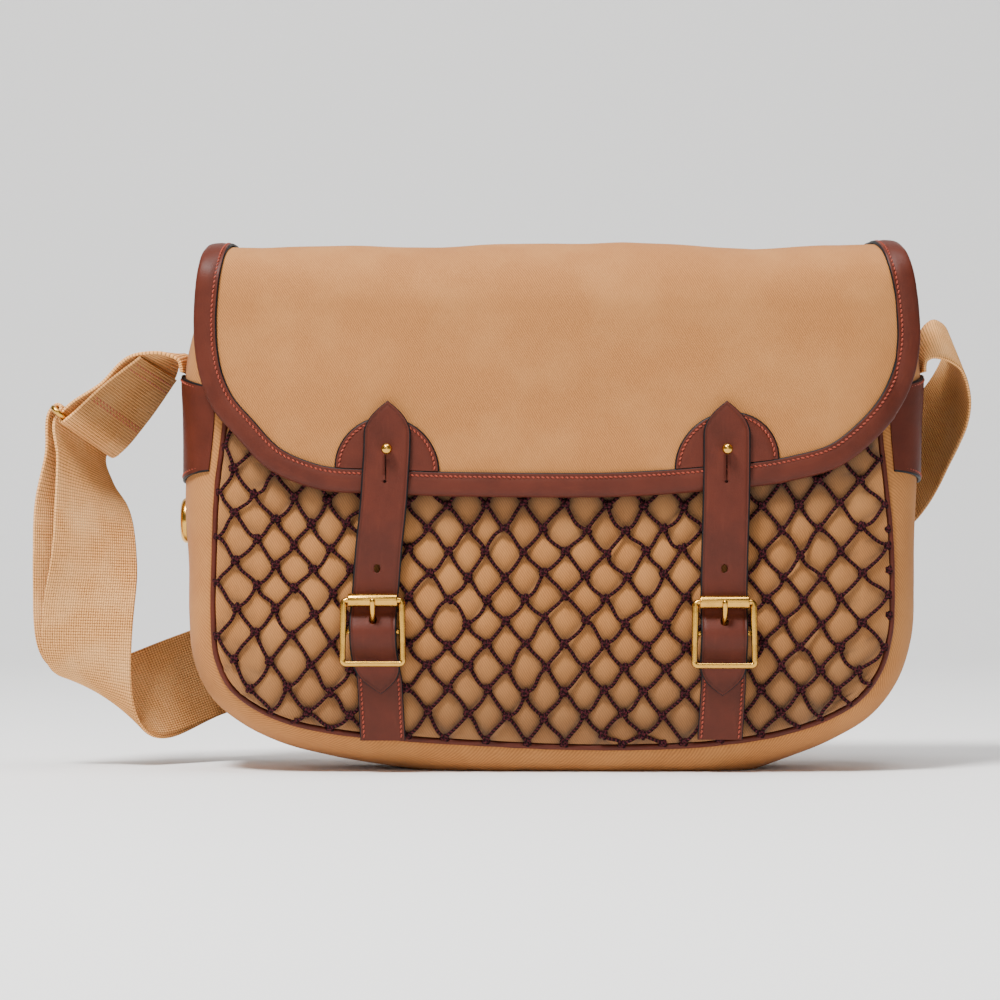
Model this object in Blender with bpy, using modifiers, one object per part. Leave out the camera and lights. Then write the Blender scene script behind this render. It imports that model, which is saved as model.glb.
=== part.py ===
"""Hunting game bag: a D-shaped drill shoulder bag with a net front, a bound flap and a webbing sling.

The bag stands on its base. Its front faces -Y, +X is its right side in the front view, and the
origin is on the floor under the middle of its width and depth. Tables and sizes are in
millimetres, and meshes are in metres.
"""

import math

import bmesh
import bpy
import numpy as np

MM = 0.001

# Walls
DRILL = 1.8
LEATHER = 2.0
WEBBING = 2.0
GAP = 0.35

# Body: the front seam lies in the plane y = -SEAM_Y, the back panel in y = BACK_Y
SEAM_Y = 44.0
BACK_Y = 43.6
GUSSET_FRONT_Y = -41.2
GUSSET_BACK_Y = 41.3
PIPING_RADIUS = 1.6
PIPING_Y = -43.2
PANEL_INSET = 1.9
PANEL_HALF_WIDTH = 186.0
CROWN_FOOT_Z = 12.0
CROWN_TOP_Z = 120.0
FRONT_CROWN = 11.0
BACK_CROWN = 4.0
BACK_OVERHANG = 0.8
BACK_MIDDLE_Z = 130.0
BACK_HALF_HEIGHT = 125.0
MOUTH_Z = 264.0
RIM_HEIGHT = 146.0

# The seam as seen from the front, from the top left round the base to the top right.
# Columns: x, z, and how far the middle of the gusset stands outside the seam.
SEAM = np.array([
    (-174.0, 266.0, 12.0),
    (-174.3, 247.0, 20.0),
    (-174.8, 225.0, 24.0),
    (-176.2, 190.0, 22.5),
    (-180.5, 155.0, 18.0),
    (-182.2, 115.0, 16.5),
    (-182.6, 84.0, 15.5),
    (-180.8, 63.0, 14.5),
    (-174.0, 47.5, 13.5),
    (-162.0, 37.0, 13.0),
    (-144.0, 28.5, 13.5),
    (-118.0, 22.5, 14.5),
    (-80.0, 18.6, 17.0),
    (-38.0, 16.0, 20.0),
    (5.0, 14.0, 19.5),
    (48.0, 13.8, 19.5),
    (92.0, 16.2, 20.5),
    (125.0, 21.6, 15.5),
    (150.0, 29.8, 13.5),
    (167.0, 40.0, 13.0),
    (178.0, 54.5, 13.0),
    (184.0, 75.0, 13.5),
    (185.1, 100.0, 14.0),
    (184.2, 130.0, 15.5),
    (181.5, 157.0, 19.5),
    (178.5, 185.0, 23.0),
    (176.8, 225.0, 25.0),
    (176.5, 247.0, 20.0),
    (176.5, 266.0, 12.0),
])
SEAM_COUNT = 72
GUSSET_ROUNDNESS = 4.0
GUSSET_FULLNESS = 0.8
GUSSET_CLEARANCE = 0.9
GUSSET_ROWS = 36
GUSSET_ACROSS = np.array([-1.0, -0.93, -0.72, -0.3, 0.3, 0.72, 0.93, 1.0])

# The flap's outline. Columns: x, and w, which is the height on the front and then the length
# of cloth past the fold, over the top and down the back.
FLAP = np.array([
    (-183.0, 398.0),
    (-183.6, 350.0),
    (-184.6, 310.0),
    (-187.8, 285.0),
    (-190.2, 264.0),
    (-191.2, 245.0),
    (-190.4, 228.0),
    (-187.4, 213.0),
    (-180.5, 197.5),
    (-168.6, 183.5),
    (-152.0, 166.5),
    (-128.0, 156.0),
    (-88.0, 152.8),
    (-16.5, 151.0),
    (40.0, 151.4),
    (88.0, 154.8),
    (130.0, 160.0),
    (156.0, 168.0),
    (173.0, 181.0),
    (186.0, 196.0),
    (194.6, 214.0),
    (198.2, 232.0),
    (197.8, 250.0),
    (195.4, 268.0),
    (191.6, 288.0),
    (187.6, 312.0),
    (186.0, 350.0),
    (185.0, 398.0),
])
FLAP_THICKNESS = 1.8
FLAP_LIFT = 5.7
FLAP_FOLD_Z = 246.0
FLAP_EDGE_INSET = 1.4
# The flap's sides draw back from this place outwards, over this width and by this much
FLAP_SIDE_X = 172.0
FLAP_SIDE_WIDTH = 26.0
FLAP_SIDE_DROP = 3.0
# Past the fold the front's crown fades out over this length, and the top waves above this height
FLAP_FADE = 40.0
WAVE_FOOT_Z = 262.0
WAVE_HEIGHT = 24.0

# The flap's section over the top of the bag, from the fold to its sewn back edge.
# Columns: y, z of the middle of the cloth.
FLAP_TOP = np.array([
    (-57.0, 246.0),
    (-55.5, 258.0),
    (-50.5, 270.0),
    (-41.0, 279.6),
    (-26.0, 285.3),
    (-6.0, 286.4),
    (18.0, 285.6),
    (35.0, 281.6),
    (44.4, 273.4),
    (47.6, 261.0),
    (47.6, 240.0),
])

# Slow waves along the top: place across, rise
TOP_WAVE = np.array([
    (-190.0, -0.6),
    (-150.0, -0.4),
    (-60.0, -0.6),
    (-10.0, 0.6),
    (40.0, 1.8),
    (80.0, 0.2),
    (112.0, -1.4),
    (150.0, 0.6),
    (195.0, 1.2),
])

# Flap binding: a strip folded over the flap's edge
BINDING_WIDTH = 11.0
BINDING_BACK_WIDTH = 8.0
BINDING_WALL = 1.4
BINDING_GAP = 0.65
BINDING_FOLD = 1.9
BINDING_END_W = 388.0

# Net
NET_COLUMNS = 8
NET_ROWS = 5
NET_CORD = 1.7
NET_LIFT = 1.45
NET_INSET = 4.2
NET_TOP_Z = 226.0

# Closure straps. Columns: z, x of the middle, and lift of the back face from the front panel.
STRAP_WIDTH = 25.4
STRAP_WALL = 2.2
STRAP_ROWS = 36
STRAP_TOP_TIP = 18.0
STRAP_LOW_TIP = 16.0
STRAP_TIP_END = 0.06
LEFT_STRAP = np.array([
    (201.0, -87.6, 9.2),
    (188.0, -87.8, 9.2),
    (175.0, -88.0, 9.2),
    (162.0, -88.8, 9.2),
    (150.0, -89.5, 9.1),
    (138.0, -90.6, 8.6),
    (124.0, -92.2, 6.8),
    (110.0, -93.4, 4.6),
    (101.0, -94.1, 3.4),
    (94.0, -94.8, 3.1),
    (88.0, -95.2, 4.6),
    (83.0, -95.5, 7.6),
    (77.0, -95.6, 10.0),
    (71.0, -95.4, 9.2),
    (65.0, -94.9, 6.2),
    (60.0, -94.0, 4.9),
    (52.0, -92.6, 4.7),
    (43.5, -91.4, 4.7),
])
RIGHT_STRAP = np.array([
    (201.0, 94.5, 9.2),
    (175.0, 94.4, 9.2),
    (162.0, 94.3, 9.2),
    (150.0, 94.1, 9.1),
    (138.0, 93.8, 8.6),
    (124.0, 93.5, 6.8),
    (110.0, 93.3, 4.6),
    (100.0, 93.2, 3.4),
    (93.0, 93.2, 3.1),
    (87.0, 93.2, 4.6),
    (82.0, 93.2, 7.6),
    (76.0, 93.2, 10.0),
    (70.0, 93.1, 9.2),
    (64.0, 93.0, 6.2),
    (59.0, 92.9, 4.9),
    (51.0, 92.7, 4.7),
    (42.5, 92.5, 4.7),
])

# Buckles: heights are measured from the centre bar
BUCKLE_WIDTH = 34.8
BUCKLE_TOP = 17.0
BUCKLE_BOTTOM = -17.0
BUCKLE_WIRE = 1.5
BUCKLE_CORNER = 1.6
BAR_BEND = 0.6
BUCKLE_LIFT = 10.3
CENTRE_BAR_LIFT = 5.9
CENTRE_BAR_RADIUS = 1.3
ROLLER_RADIUS = 3.4
ROLLER_BORE = 1.85
ROLLER_LENGTH = 26.0
TONGUE_RADIUS = 1.1
TONGUE = np.array([
    (0.0, 8.7),
    (3.0, 9.2),
    (6.0, 10.8),
    (10.0, 13.4),
    (14.0, 15.0),
    (18.3, 15.2),
])
HOLE_WIDTH = 5.0
HOLE_Z = (-1.2, 9.4)
SLOT_WIDTH = 4.0
SLOT_Z = (-3.0, 4.0)
SLOT_CLEARANCE = 0.9
BUCKLES = {"left": (-95.6, 77.0), "right": (93.2, 76.0)}

# Tabs: the leather chapes that hold the buckles
TAB_WIDTH = 21.8
TAB_WALL = 1.8
TAB_LIFT = 2.55
TAB_BEND_Z = 50.0
TAB_LEAN = {"left": 0.7, "right": 0.0}
TAB_ROWS = 8
# The turned-down end in front of the bar. Columns: depth under the bar, lift
TAB_END = np.array([
    (3.5, 8.1),
    (7.0, 6.6),
    (9.5, 5.9),
])
TAB_FOOT = {"left": (-88.4, 19.5), "right": (91.0, 20.0)}

# Half-round patches on the flap
HALF_ROUND_RADIUS = 28.0
HALF_ROUND_EDGE = 0.985
HALF_ROUND_GAP = 1.0
HALF_ROUND_WALL = 1.8
HALF_ROUND_X = {"left": -88.0, "right": 94.6}

# Ball studs: radius and height of each step of the turned profile
STUD_Z = 175.2
STUD_GAP = 0.3
STUD_PROFILE = np.array([
    (3.6, 0.0),
    (3.6, 0.9),
    (1.6, 1.1),
    (1.6, 1.8),
    (2.7, 2.6),
    (3.0, 3.9),
    (2.5, 5.2),
    (1.2, 6.2),
])

# Side patches on the gusset
PATCH_TOP_Z = 216.4
PATCH_FOOT_Z = 155.0
PATCH_CURVE = 8.0
PATCH_GAP = 0.5

# Vent eyelet on the left gusset. Columns: radius, height
EYELET_Z = 136.5
EYELET_GAP = 0.4
EYELET_PROFILE = np.array([
    (5.0, 0.0),
    (12.5, 0.0),
    (12.6, 1.2),
    (11.2, 2.8),
    (8.8, 3.6),
    (6.4, 3.2),
    (5.0, 1.8),
])

# Sling: two-inch webbing. Rows hold the front edge and the back edge of the band.
SLING_WIDTH = 50.8
SHORT_STRAP = np.array([
    (-201.5, -25.4, 218.0, -201.5, 25.4, 218.0),
    (-202.0, -25.3, 221.4, -202.0, 25.3, 223.5),
    (-203.4, -25.2, 224.6, -202.0, 25.2, 228.6),
    (-210.0, -25.0, 227.6, -205.4, 25.0, 228.4),
    (-224.8, -23.0, 228.0, -209.2, 24.0, 217.2),
    (-246.8, -22.4, 211.2, -225.4, 20.2, 193.6),
])
LOOP_CENTRE = np.array([-254.4, -3.9, 183.9])
LOOP_AXIS = np.array([0.476, 0.795, -0.378])
LOOP_DOWN = np.array([-0.733, -0.072, -0.679])
LOOP_WIRE = 1.5
LOOP_CLEARANCE = 0.3
LOOP_SPACING = 7.9
LOOP_HALF = 25.8
TAIL_OFFSET = 2.6

# The front ply of the long strap below the loop, left edge and right edge
FRONT_PLY = np.array([
    (-270.0, -22.6, 172.0, -243.2, 14.0, 157.0),
    (-270.6, -24.0, 150.0, -234.4, 11.0, 143.6),
    (-273.0, -22.4, 118.0, -228.6, 1.8, 115.0),
    (-279.0, -12.0, 90.0, -228.6, -8.0, 88.0),
    (-282.0, -8.0, 70.0, -231.2, -8.0, 70.0),
])
# The back ply stands this far left of the front ply and behind it, from the loop down
BACK_PLY_SHIFT = np.array([
    (-7.0, 5.0),
    (-11.0, 4.0),
    (-10.5, 3.6),
    (-6.0, 4.4),
    (-3.6, 3.6),
])

# The turn at the lower left: both plies roll round one slanting axis
TURN_ANGLE = math.radians(-33.5)
TURN_EDGE = np.array([-257.0, 28.5])
TURN_RADIUS = 13.0
TURN_INNER_RADIUS = 9.4
TURN_Y = -8.0
TURN_SPACING = 3.6
TURN_SHIFT = -2.4
TURN_ROWS = 11

# The run behind the bag, from the lower left to the right: x, y, z of its middle
BEHIND = np.array([
    (-206.0, 34.0, 46.0),
    (-182.0, 46.5, 54.5),
    (-150.0, 53.4, 65.0),
    (-60.0, 54.0, 91.0),
    (40.0, 54.0, 115.0),
    (130.0, 53.4, 138.5),
    (170.0, 53.0, 149.0),
])
SEWN_END_X = -40.0
SEWN_PLY_GAP = 2.45
# The right end, from behind the bag to the patch: its back edge, which is the upper one behind, then its front edge
RIGHT_END = np.array([
    (179.0, 54.2, 177.5, 196.5, 50.6, 129.2), (187.5, 55.0, 182.0, 206.5, 47.2, 134.6),
    (195.5, 55.6, 188.0, 213.5, 41.0, 143.5), (203.0, 56.0, 197.0, 219.0, 36.5, 153.5),
    (209.5, 56.2, 205.5, 224.4, 29.0, 166.5), (215.0, 56.0, 212.5, 229.4, 23.0, 178.0),
    (219.5, 55.0, 219.0, 233.0, 16.5, 188.5), (223.5, 52.5, 227.0, 234.2, 9.5, 200.5),
    (226.0, 48.0, 235.5, 232.0, 3.0, 211.0), (225.0, 41.5, 242.5, 228.0, -3.5, 219.0),
    (220.5, 34.0, 247.2, 222.0, -10.5, 223.2), (214.4, 28.0, 248.2, 215.5, -17.0, 225.4),
    (209.2, 25.6, 243.0, 210.0, -21.5, 225.9), (206.6, 25.4, 234.2, 206.2, -24.0, 224.2),
    (205.3, 25.4, 226.0, 205.1, -25.2, 221.4), (205.0, 25.4, 218.0, 205.0, -25.4, 218.0),
])


def clear_scene():
    """Removes what Blender starts with."""
    for item in list(bpy.data.objects):
        bpy.data.objects.remove(item, do_unlink=True)


def new_collection(name):
    """A collection linked to the scene."""
    collection = bpy.data.collections.new(name)
    bpy.context.scene.collection.children.link(collection)
    return collection


def finish(name, colour, roughness, metallic=0.0):
    """A Principled material. The colour is linear."""
    material = bpy.data.materials.new(name)
    material.use_nodes = True
    shader = material.node_tree.nodes["Principled BSDF"]
    shader.inputs["Base Color"].default_value = (*colour, 1.0)
    shader.inputs["Roughness"].default_value = roughness
    shader.inputs["Metallic"].default_value = metallic
    material.diffuse_color = (*colour, 1.0)
    return material


def hermite(rows, places, wanted):
    """A smooth curve through the rows, which lie at these places, read at the wanted places."""
    slopes = np.gradient(rows, places, axis=0)
    index = np.clip(np.searchsorted(places, wanted, side="right") - 1, 0, len(places) - 2)
    span = (places[index + 1] - places[index])[:, None]
    t = ((wanted - places[index]) / span[:, 0])[:, None]
    start, end = rows[index], rows[index + 1]
    return (
        (2 * t**3 - 3 * t**2 + 1) * start
        + (t**3 - 2 * t**2 + t) * span * slopes[index]
        + (3 * t**2 - 2 * t**3) * end
        + (t**3 - t**2) * span * slopes[index + 1]
    )


def chord_places(rows):
    """The length along the rows up to each one."""
    steps = np.linalg.norm(np.diff(rows, axis=0), axis=1)
    return np.concatenate([[0.0], np.cumsum(steps)])


def smooth_even(rows, count, measured=2):
    """The smooth curve through the rows, as evenly spaced points. Only the first columns give length."""
    places = chord_places(rows[:, :measured])
    fine = hermite(rows, places, np.linspace(0, places[-1], 1200))
    lengths = chord_places(fine[:, :measured])
    wanted = np.linspace(0, lengths[-1], count)
    return np.stack([np.interp(wanted, lengths, column) for column in fine.T], axis=1)


def smooth_rows(rows, step):
    """The smooth surface through a band's rows, with each stretch cut into pieces about a step long."""
    middle = (rows[:, :3] + rows[:, 3:]) / 2
    places = chord_places(middle)
    wanted = [0.0]
    for start, end in zip(places[:-1], places[1:]):
        pieces = max(1, round((end - start) / step))
        wanted.extend(start + (end - start) * (i + 1) / pieces for i in range(pieces))
    return hermite(rows, places, np.array(wanted))


def outward_normals(path):
    """Normals of a path in the front view that goes down the left, along the base and up the right."""
    along = np.gradient(path, axis=0)
    along /= np.linalg.norm(along, axis=1, keepdims=True)
    return np.stack([along[:, 1], -along[:, 0]], axis=1)


SEAM_PATH = smooth_even(SEAM, SEAM_COUNT + 1)
SEAM_NORMALS = outward_normals(SEAM_PATH[:, :2])


def inset_seam(inset):
    """The seam moved inwards, in the front view."""
    return SEAM_PATH[:, :2] - SEAM_NORMALS * inset


def front_y(x, z):
    """The outer face of the front panel: crowned, flat across its middle, drawn back at the mouth."""
    across = np.clip(1 - np.abs(x / PANEL_HALF_WIDTH) ** 4.5, 0, 1) ** 0.8
    below = 1 - np.clip((CROWN_TOP_Z - z) / (CROWN_TOP_Z - CROWN_FOOT_Z), 0, 1) ** 2.6
    above = 1 - 0.5 * np.clip((z - CROWN_TOP_Z) / RIM_HEIGHT, 0, 1) ** 2
    return -(SEAM_Y + FRONT_CROWN * across * below * above)


def back_y(x, z):
    """The outer face of the back panel."""
    across = np.clip(1 - np.abs(x / PANEL_HALF_WIDTH) ** 3, 0, 1)
    upright = np.clip(1 - np.abs((z - BACK_MIDDLE_Z) / BACK_HALF_HEIGHT) ** 3, 0, 1)
    return BACK_Y + BACK_CROWN * across * upright


def split_outline(path):
    """Cuts a U-shaped outline where it turns through 45 degrees, into left, bottom and right."""
    normals = outward_normals(path)
    downward = -normals[:, 1] > np.abs(normals[:, 0])
    left = int(np.argmax(downward))
    right = len(path) - 1 - int(np.argmax(downward[::-1]))
    return path[: left + 1], path[left : right + 1], path[right:][::-1]


def read_at(path, parts):
    """The path read at these parts of its length."""
    lengths = chord_places(path)
    wanted = np.asarray(parts) * lengths[-1]
    return np.stack([np.interp(wanted, lengths, column) for column in path.T], axis=1)


def even_parts(count):
    """The parts of a length at which it is cut into this many equal pieces."""
    return np.linspace(0, 1, count + 1)


def edge_parts(inner):
    """Parts of a width: close together near both edges, where the cloth turns, and even between."""
    edge = np.array([0.0, 0.015, 0.035, 0.065, 0.11])
    middle = np.linspace(edge[-1], 1 - edge[-1], inner + 1)
    return np.concatenate([edge[:-1], middle, 1 - edge[:-1][::-1]])


def fill_outline(path, across_parts, down_parts):
    """A grid of points that fills a U-shaped outline, blended from its four sides."""
    left, bottom, right = split_outline(path)
    left = read_at(left, down_parts)[None, :, :]
    right = read_at(right, down_parts)[None, :, :]
    across_parts = np.asarray(across_parts)
    bottom = read_at(bottom, across_parts)[:, None, :]
    u = across_parts[:, None, None]
    top = left[0, 0] * (1 - u) + right[0, 0] * u
    v = np.asarray(down_parts)[None, :, None]
    corners_blend = (
        (1 - u) * (1 - v) * top[0, 0]
        + u * (1 - v) * top[-1, 0]
        + (1 - u) * v * bottom[0, 0]
        + u * v * bottom[-1, 0]
    )
    return (1 - u) * left + u * right + (1 - v) * top + v * bottom - corners_blend


def grid_faces(rows, columns, flip=False, wrap=False):
    """Quads of a grid whose points are listed row by row."""
    faces = []
    for i in range(rows - 1):
        for j in range(columns if wrap else columns - 1):
            k = (j + 1) % columns
            face = (i * columns + j, i * columns + k, (i + 1) * columns + k, (i + 1) * columns + j)
            faces.append(face[::-1] if flip else face)
    return faces


def add_mesh(name, points, faces, material, smooth_angle=40):
    """One mesh object of the bag, from points in millimetres."""
    mesh = bpy.data.meshes.new(name)
    mesh.from_pydata((np.asarray(points).reshape(-1, 3) * MM).tolist(), [], faces)
    mesh.materials.append(material)
    mesh.shade_smooth()
    mesh.set_sharp_from_angle(angle=math.radians(smooth_angle))
    piece = bpy.data.objects.new(name, mesh)
    BAG.objects.link(piece)
    return piece


def solidify(piece, thickness, offset):
    """Gives an open surface its wall: offset -1 grows inwards from it, 0 on both sides."""
    wall = piece.modifiers.new("wall", "SOLIDIFY")
    wall.thickness = thickness * MM
    wall.offset = offset
    return wall


def sheet(name, grid, thickness, offset, material, flip=False):
    """A wall made from a grid of points."""
    rows, columns = grid.shape[:2]
    piece = add_mesh(name, grid, grid_faces(rows, columns, flip), material)
    solidify(piece, thickness, offset)
    return piece


def tube_mesh(path, radius, closed=False, sides_resolution=1):
    """A mesh of a round bar along a path in millimetres, with its caps welded."""
    curve = bpy.data.curves.new("bar", "CURVE")
    curve.dimensions = "3D"
    curve.bevel_depth = radius * MM
    curve.bevel_resolution = sides_resolution
    curve.use_fill_caps = not closed
    spline = curve.splines.new("POLY")
    spline.points.add(len(path) - 1)
    for point, place in zip(spline.points, path):
        point.co = (*(np.asarray(place) * MM), 1.0)
    spline.use_cyclic_u = closed
    guide = bpy.data.objects.new("bar", curve)
    GUIDES.objects.link(guide)
    bpy.context.view_layer.update()
    mesh = bpy.data.meshes.new_from_object(guide.evaluated_get(bpy.context.evaluated_depsgraph_get()))
    bpy.data.objects.remove(guide, do_unlink=True)
    bpy.data.curves.remove(curve)
    welded = bmesh.new()
    welded.from_mesh(mesh)
    bmesh.ops.remove_doubles(welded, verts=welded.verts, dist=0.00001)
    bmesh.ops.recalc_face_normals(welded, faces=welded.faces)
    welded.to_mesh(mesh)
    welded.free()
    return mesh


def add_tube(name, path, radius, material, closed=False, sides_resolution=1):
    """A round bar as an object of the bag."""
    mesh = tube_mesh(path, radius, closed, sides_resolution)
    mesh.name = name
    mesh.materials.clear()
    mesh.materials.append(material)
    mesh.shade_smooth()
    mesh.set_sharp_from_angle(angle=math.radians(50))
    piece = bpy.data.objects.new(name, mesh)
    BAG.objects.link(piece)
    return piece


def helper(name, mesh):
    """A hidden object that a Boolean uses."""
    piece = bpy.data.objects.new(name, mesh)
    GUIDES.objects.link(piece)
    piece.hide_render = True
    piece.display_type = "WIRE"
    return piece


def box_helper(name, low, high):
    """A hidden box between two corners in millimetres."""
    shape = bmesh.new()
    bmesh.ops.create_cube(shape, size=1.0)
    low, high = np.array(low) * MM, np.array(high) * MM
    for corner in shape.verts:
        corner.co = (low + high) / 2 + np.array(corner.co) * (high - low)
    mesh = bpy.data.meshes.new(name)
    shape.to_mesh(mesh)
    shape.free()
    return helper(name, mesh)


def boolean(piece, other, operation):
    """Joins or cuts a piece with a hidden one."""
    change = piece.modifiers.new(operation.lower(), "BOOLEAN")
    change.operation = operation
    change.solver = "EXACT"
    change.object = other


def turned(profile, centre, axis, steps):
    """Points of a turned piece: its profile of radii and heights swept round an axis through the centre."""
    axis = np.array(axis, float) / np.linalg.norm(axis)
    side = np.cross(axis, (0.0, 0.0, 1.0))
    side /= np.linalg.norm(side)
    up = np.cross(axis, side)
    angles = np.arange(steps) * 2 * math.pi / steps
    ring = np.cos(angles)[:, None] * side + np.sin(angles)[:, None] * up
    return np.array([centre + ring * radius + axis * height for radius, height in profile])


def add_stud(name, profile, centre, axis, material):
    """A solid turned piece, closed at both ends."""
    points = turned(profile, np.array(centre), axis, 10)
    rows, columns = points.shape[:2]
    faces = grid_faces(rows, columns, wrap=True)
    faces.append(tuple(range(columns))[::-1])
    faces.append(tuple((rows - 1) * columns + j for j in range(columns)))
    return closed_mesh(name, points, faces, material)


def add_ring(name, profile, centre, axis, material, steps=14):
    """A turned ring, whose profile closes on itself."""
    points = turned(profile, np.array(centre), axis, steps)
    rows, columns = points.shape[:2]
    points = np.concatenate([points, points[:1]])
    faces = grid_faces(rows + 1, columns, wrap=True)
    return closed_mesh(name, points, faces, material)


def closed_mesh(name, points, faces, material):
    """A closed mesh with its doubles merged and its faces turned outwards."""
    piece = add_mesh(name, points, faces, material)
    shape = bmesh.new()
    shape.from_mesh(piece.data)
    bmesh.ops.remove_doubles(shape, verts=shape.verts, dist=0.000005)
    bmesh.ops.recalc_face_normals(shape, faces=shape.faces)
    shape.to_mesh(piece.data)
    shape.free()
    return piece


def body_panels():
    """The front panel with its crown, and the flatter back panel over the gusset's back edge."""
    inner = inset_seam(PANEL_INSET)
    plan = fill_outline(inner[inner[:, 1] < MOUTH_Z], edge_parts(8), np.linspace(0, 1, 11))
    x, z = plan[..., 0], plan[..., 1]
    sheet("front_panel", np.stack([x, front_y(x, z), z], axis=-1), DRILL, -1, DRILL_TAN)
    outer = inset_seam(-BACK_OVERHANG)
    plan = fill_outline(outer[outer[:, 1] < MOUTH_Z], edge_parts(4), np.linspace(0, 1, 8))
    x, z = plan[..., 0], plan[..., 1]
    sheet("back_panel", np.stack([x, back_y(x, z), z], axis=-1), DRILL, -1, DRILL_TAN, flip=True)


def gusset_point(seam, normal, across, lift):
    """A point of the gusset's outer face. across runs from -1 at the front seam to 1 at the back."""
    rounded = (1 - np.abs(across) ** GUSSET_ROUNDNESS) ** GUSSET_FULLNESS
    swell = seam[..., 2] * rounded + GUSSET_CLEARANCE + lift
    x = seam[..., 0] + normal[..., 0] * swell
    z = np.maximum(seam[..., 1] + normal[..., 1] * swell, 0.0)
    middle = (GUSSET_FRONT_Y + GUSSET_BACK_Y) / 2
    half = (GUSSET_BACK_Y - GUSSET_FRONT_Y) / 2
    return np.stack([x, middle + half * across + 0 * x, z], axis=-1)


def gusset():
    """One strip for both sides and the base: it swells outwards between its seams and lies flat on the floor."""
    chosen = np.linspace(0, SEAM_COUNT, GUSSET_ROWS + 1).round().astype(int)
    seam = SEAM_PATH[chosen][:, None, :]
    normal = SEAM_NORMALS[chosen][:, None, :]
    grid = gusset_point(seam, normal, GUSSET_ACROSS[None, :], 0.0)
    sheet("gusset", grid, DRILL, -1, DRILL_TAN)


def piping():
    """The leather piping in the front seam."""
    chosen = SEAM_PATH[SEAM_PATH[:, 1] < MOUTH_Z - 6]
    path = np.stack([chosen[:, 0], np.full(len(chosen), PIPING_Y), chosen[:, 1]], axis=1)
    add_tube("front_piping", path, PIPING_RADIUS, LEATHER_BROWN)


def net():
    """A coarse diamond net over the front, with a bar all round: one closed body of thin bars."""
    inner = inset_seam(NET_INSET)
    plan = fill_outline(inner[inner[:, 1] < NET_TOP_Z], even_parts(2 * NET_COLUMNS), even_parts(2 * NET_ROWS))
    x, z = plan[..., 0], plan[..., 1]
    points = np.stack([x, front_y(x, z) - NET_LIFT, z], axis=-1).reshape(-1, 3)
    columns = 2 * NET_ROWS + 1
    faces = []
    for i in range(2 * NET_COLUMNS + 1):
        for j in range(columns):
            if (i + j) % 2 == 0:
                continue
            around = [(i - 1, j), (i, j - 1), (i + 1, j), (i, j + 1)]
            kept = [a * columns + b for a, b in around if 0 <= a <= 2 * NET_COLUMNS and 0 <= b < columns]
            faces.append(kept)
    used = sorted({index for face in faces for index in face})
    new_index = {old: new for new, old in enumerate(used)}
    faces = [[new_index[index] for index in face] for face in faces]
    piece = add_mesh("net", points[used], faces, CORD_BROWN)
    bars = piece.modifiers.new("bars", "WIREFRAME")
    bars.thickness = NET_CORD * MM
    bars.offset = 0.0
    bars.use_boundary = True
    bars.use_even_offset = False
    bars.use_replace = True


FLAP_PATH = smooth_even(FLAP, 121)
SECTION = smooth_even(FLAP_TOP, 60)
SECTION_W = FLAP_FOLD_Z + chord_places(SECTION)


def flap_middle(x, w):
    """A point of the middle of the flap's cloth, from its place across and its unrolled height."""
    front_z = np.minimum(w, FLAP_FOLD_Z)
    edge = FLAP_SIDE_DROP * np.clip((np.abs(x) - FLAP_SIDE_X) / FLAP_SIDE_WIDTH, 0, 1) ** 2
    lying_y = front_y(x, front_z) - FLAP_LIFT + edge
    section_y = np.interp(w, SECTION_W, SECTION[:, 0])
    section_z = np.interp(w, SECTION_W, SECTION[:, 1])
    past = np.clip((w - FLAP_FOLD_Z) / FLAP_FADE, 0, 1)
    fade = 1 - past * past * (3 - 2 * past)
    fold_y = front_y(x, np.full_like(x, FLAP_FOLD_Z)) - FLAP_LIFT + edge
    over_y = section_y + (fold_y - SECTION[0, 0]) * fade
    wave = np.interp(x, TOP_WAVE[:, 0], TOP_WAVE[:, 1])
    over_z = section_z + wave * np.clip((section_z - WAVE_FOOT_Z) / WAVE_HEIGHT, 0, 1)
    on_front = w <= FLAP_FOLD_Z
    return np.stack([x, np.where(on_front, lying_y, over_y), np.where(on_front, w, over_z)], axis=-1)


def flap_point(x, w, lift):
    """A point that stands off the middle of the flap's cloth by lift, outwards."""
    step = 0.5
    along_x = flap_middle(x + step, w) - flap_middle(x - step, w)
    along_w = flap_middle(x, w + step) - flap_middle(x, w - step)
    normal = np.cross(along_x, along_w)
    normal /= np.linalg.norm(normal, axis=-1, keepdims=True)
    return flap_middle(x, w) + normal * np.asarray(lift)[..., None]


def flap():
    """The flap: sewn to the back, folded over the top and hanging down the front."""
    normals = outward_normals(FLAP_PATH)
    back_fold = np.linspace(0.05, 0.25, 7)
    front_fold = np.linspace(0.44, 0.70, 9)
    down_parts = np.concatenate([[0.0], back_fold, [0.31, 0.38], front_fold, [0.78, 0.86, 0.93, 1.0]])
    plan = fill_outline(FLAP_PATH - normals * FLAP_EDGE_INSET, edge_parts(7), down_parts)
    x, w = plan[..., 0], plan[..., 1]
    sheet("flap", flap_middle(x, w), FLAP_THICKNESS, 0, DRILL_TAN, flip=True)


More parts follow.
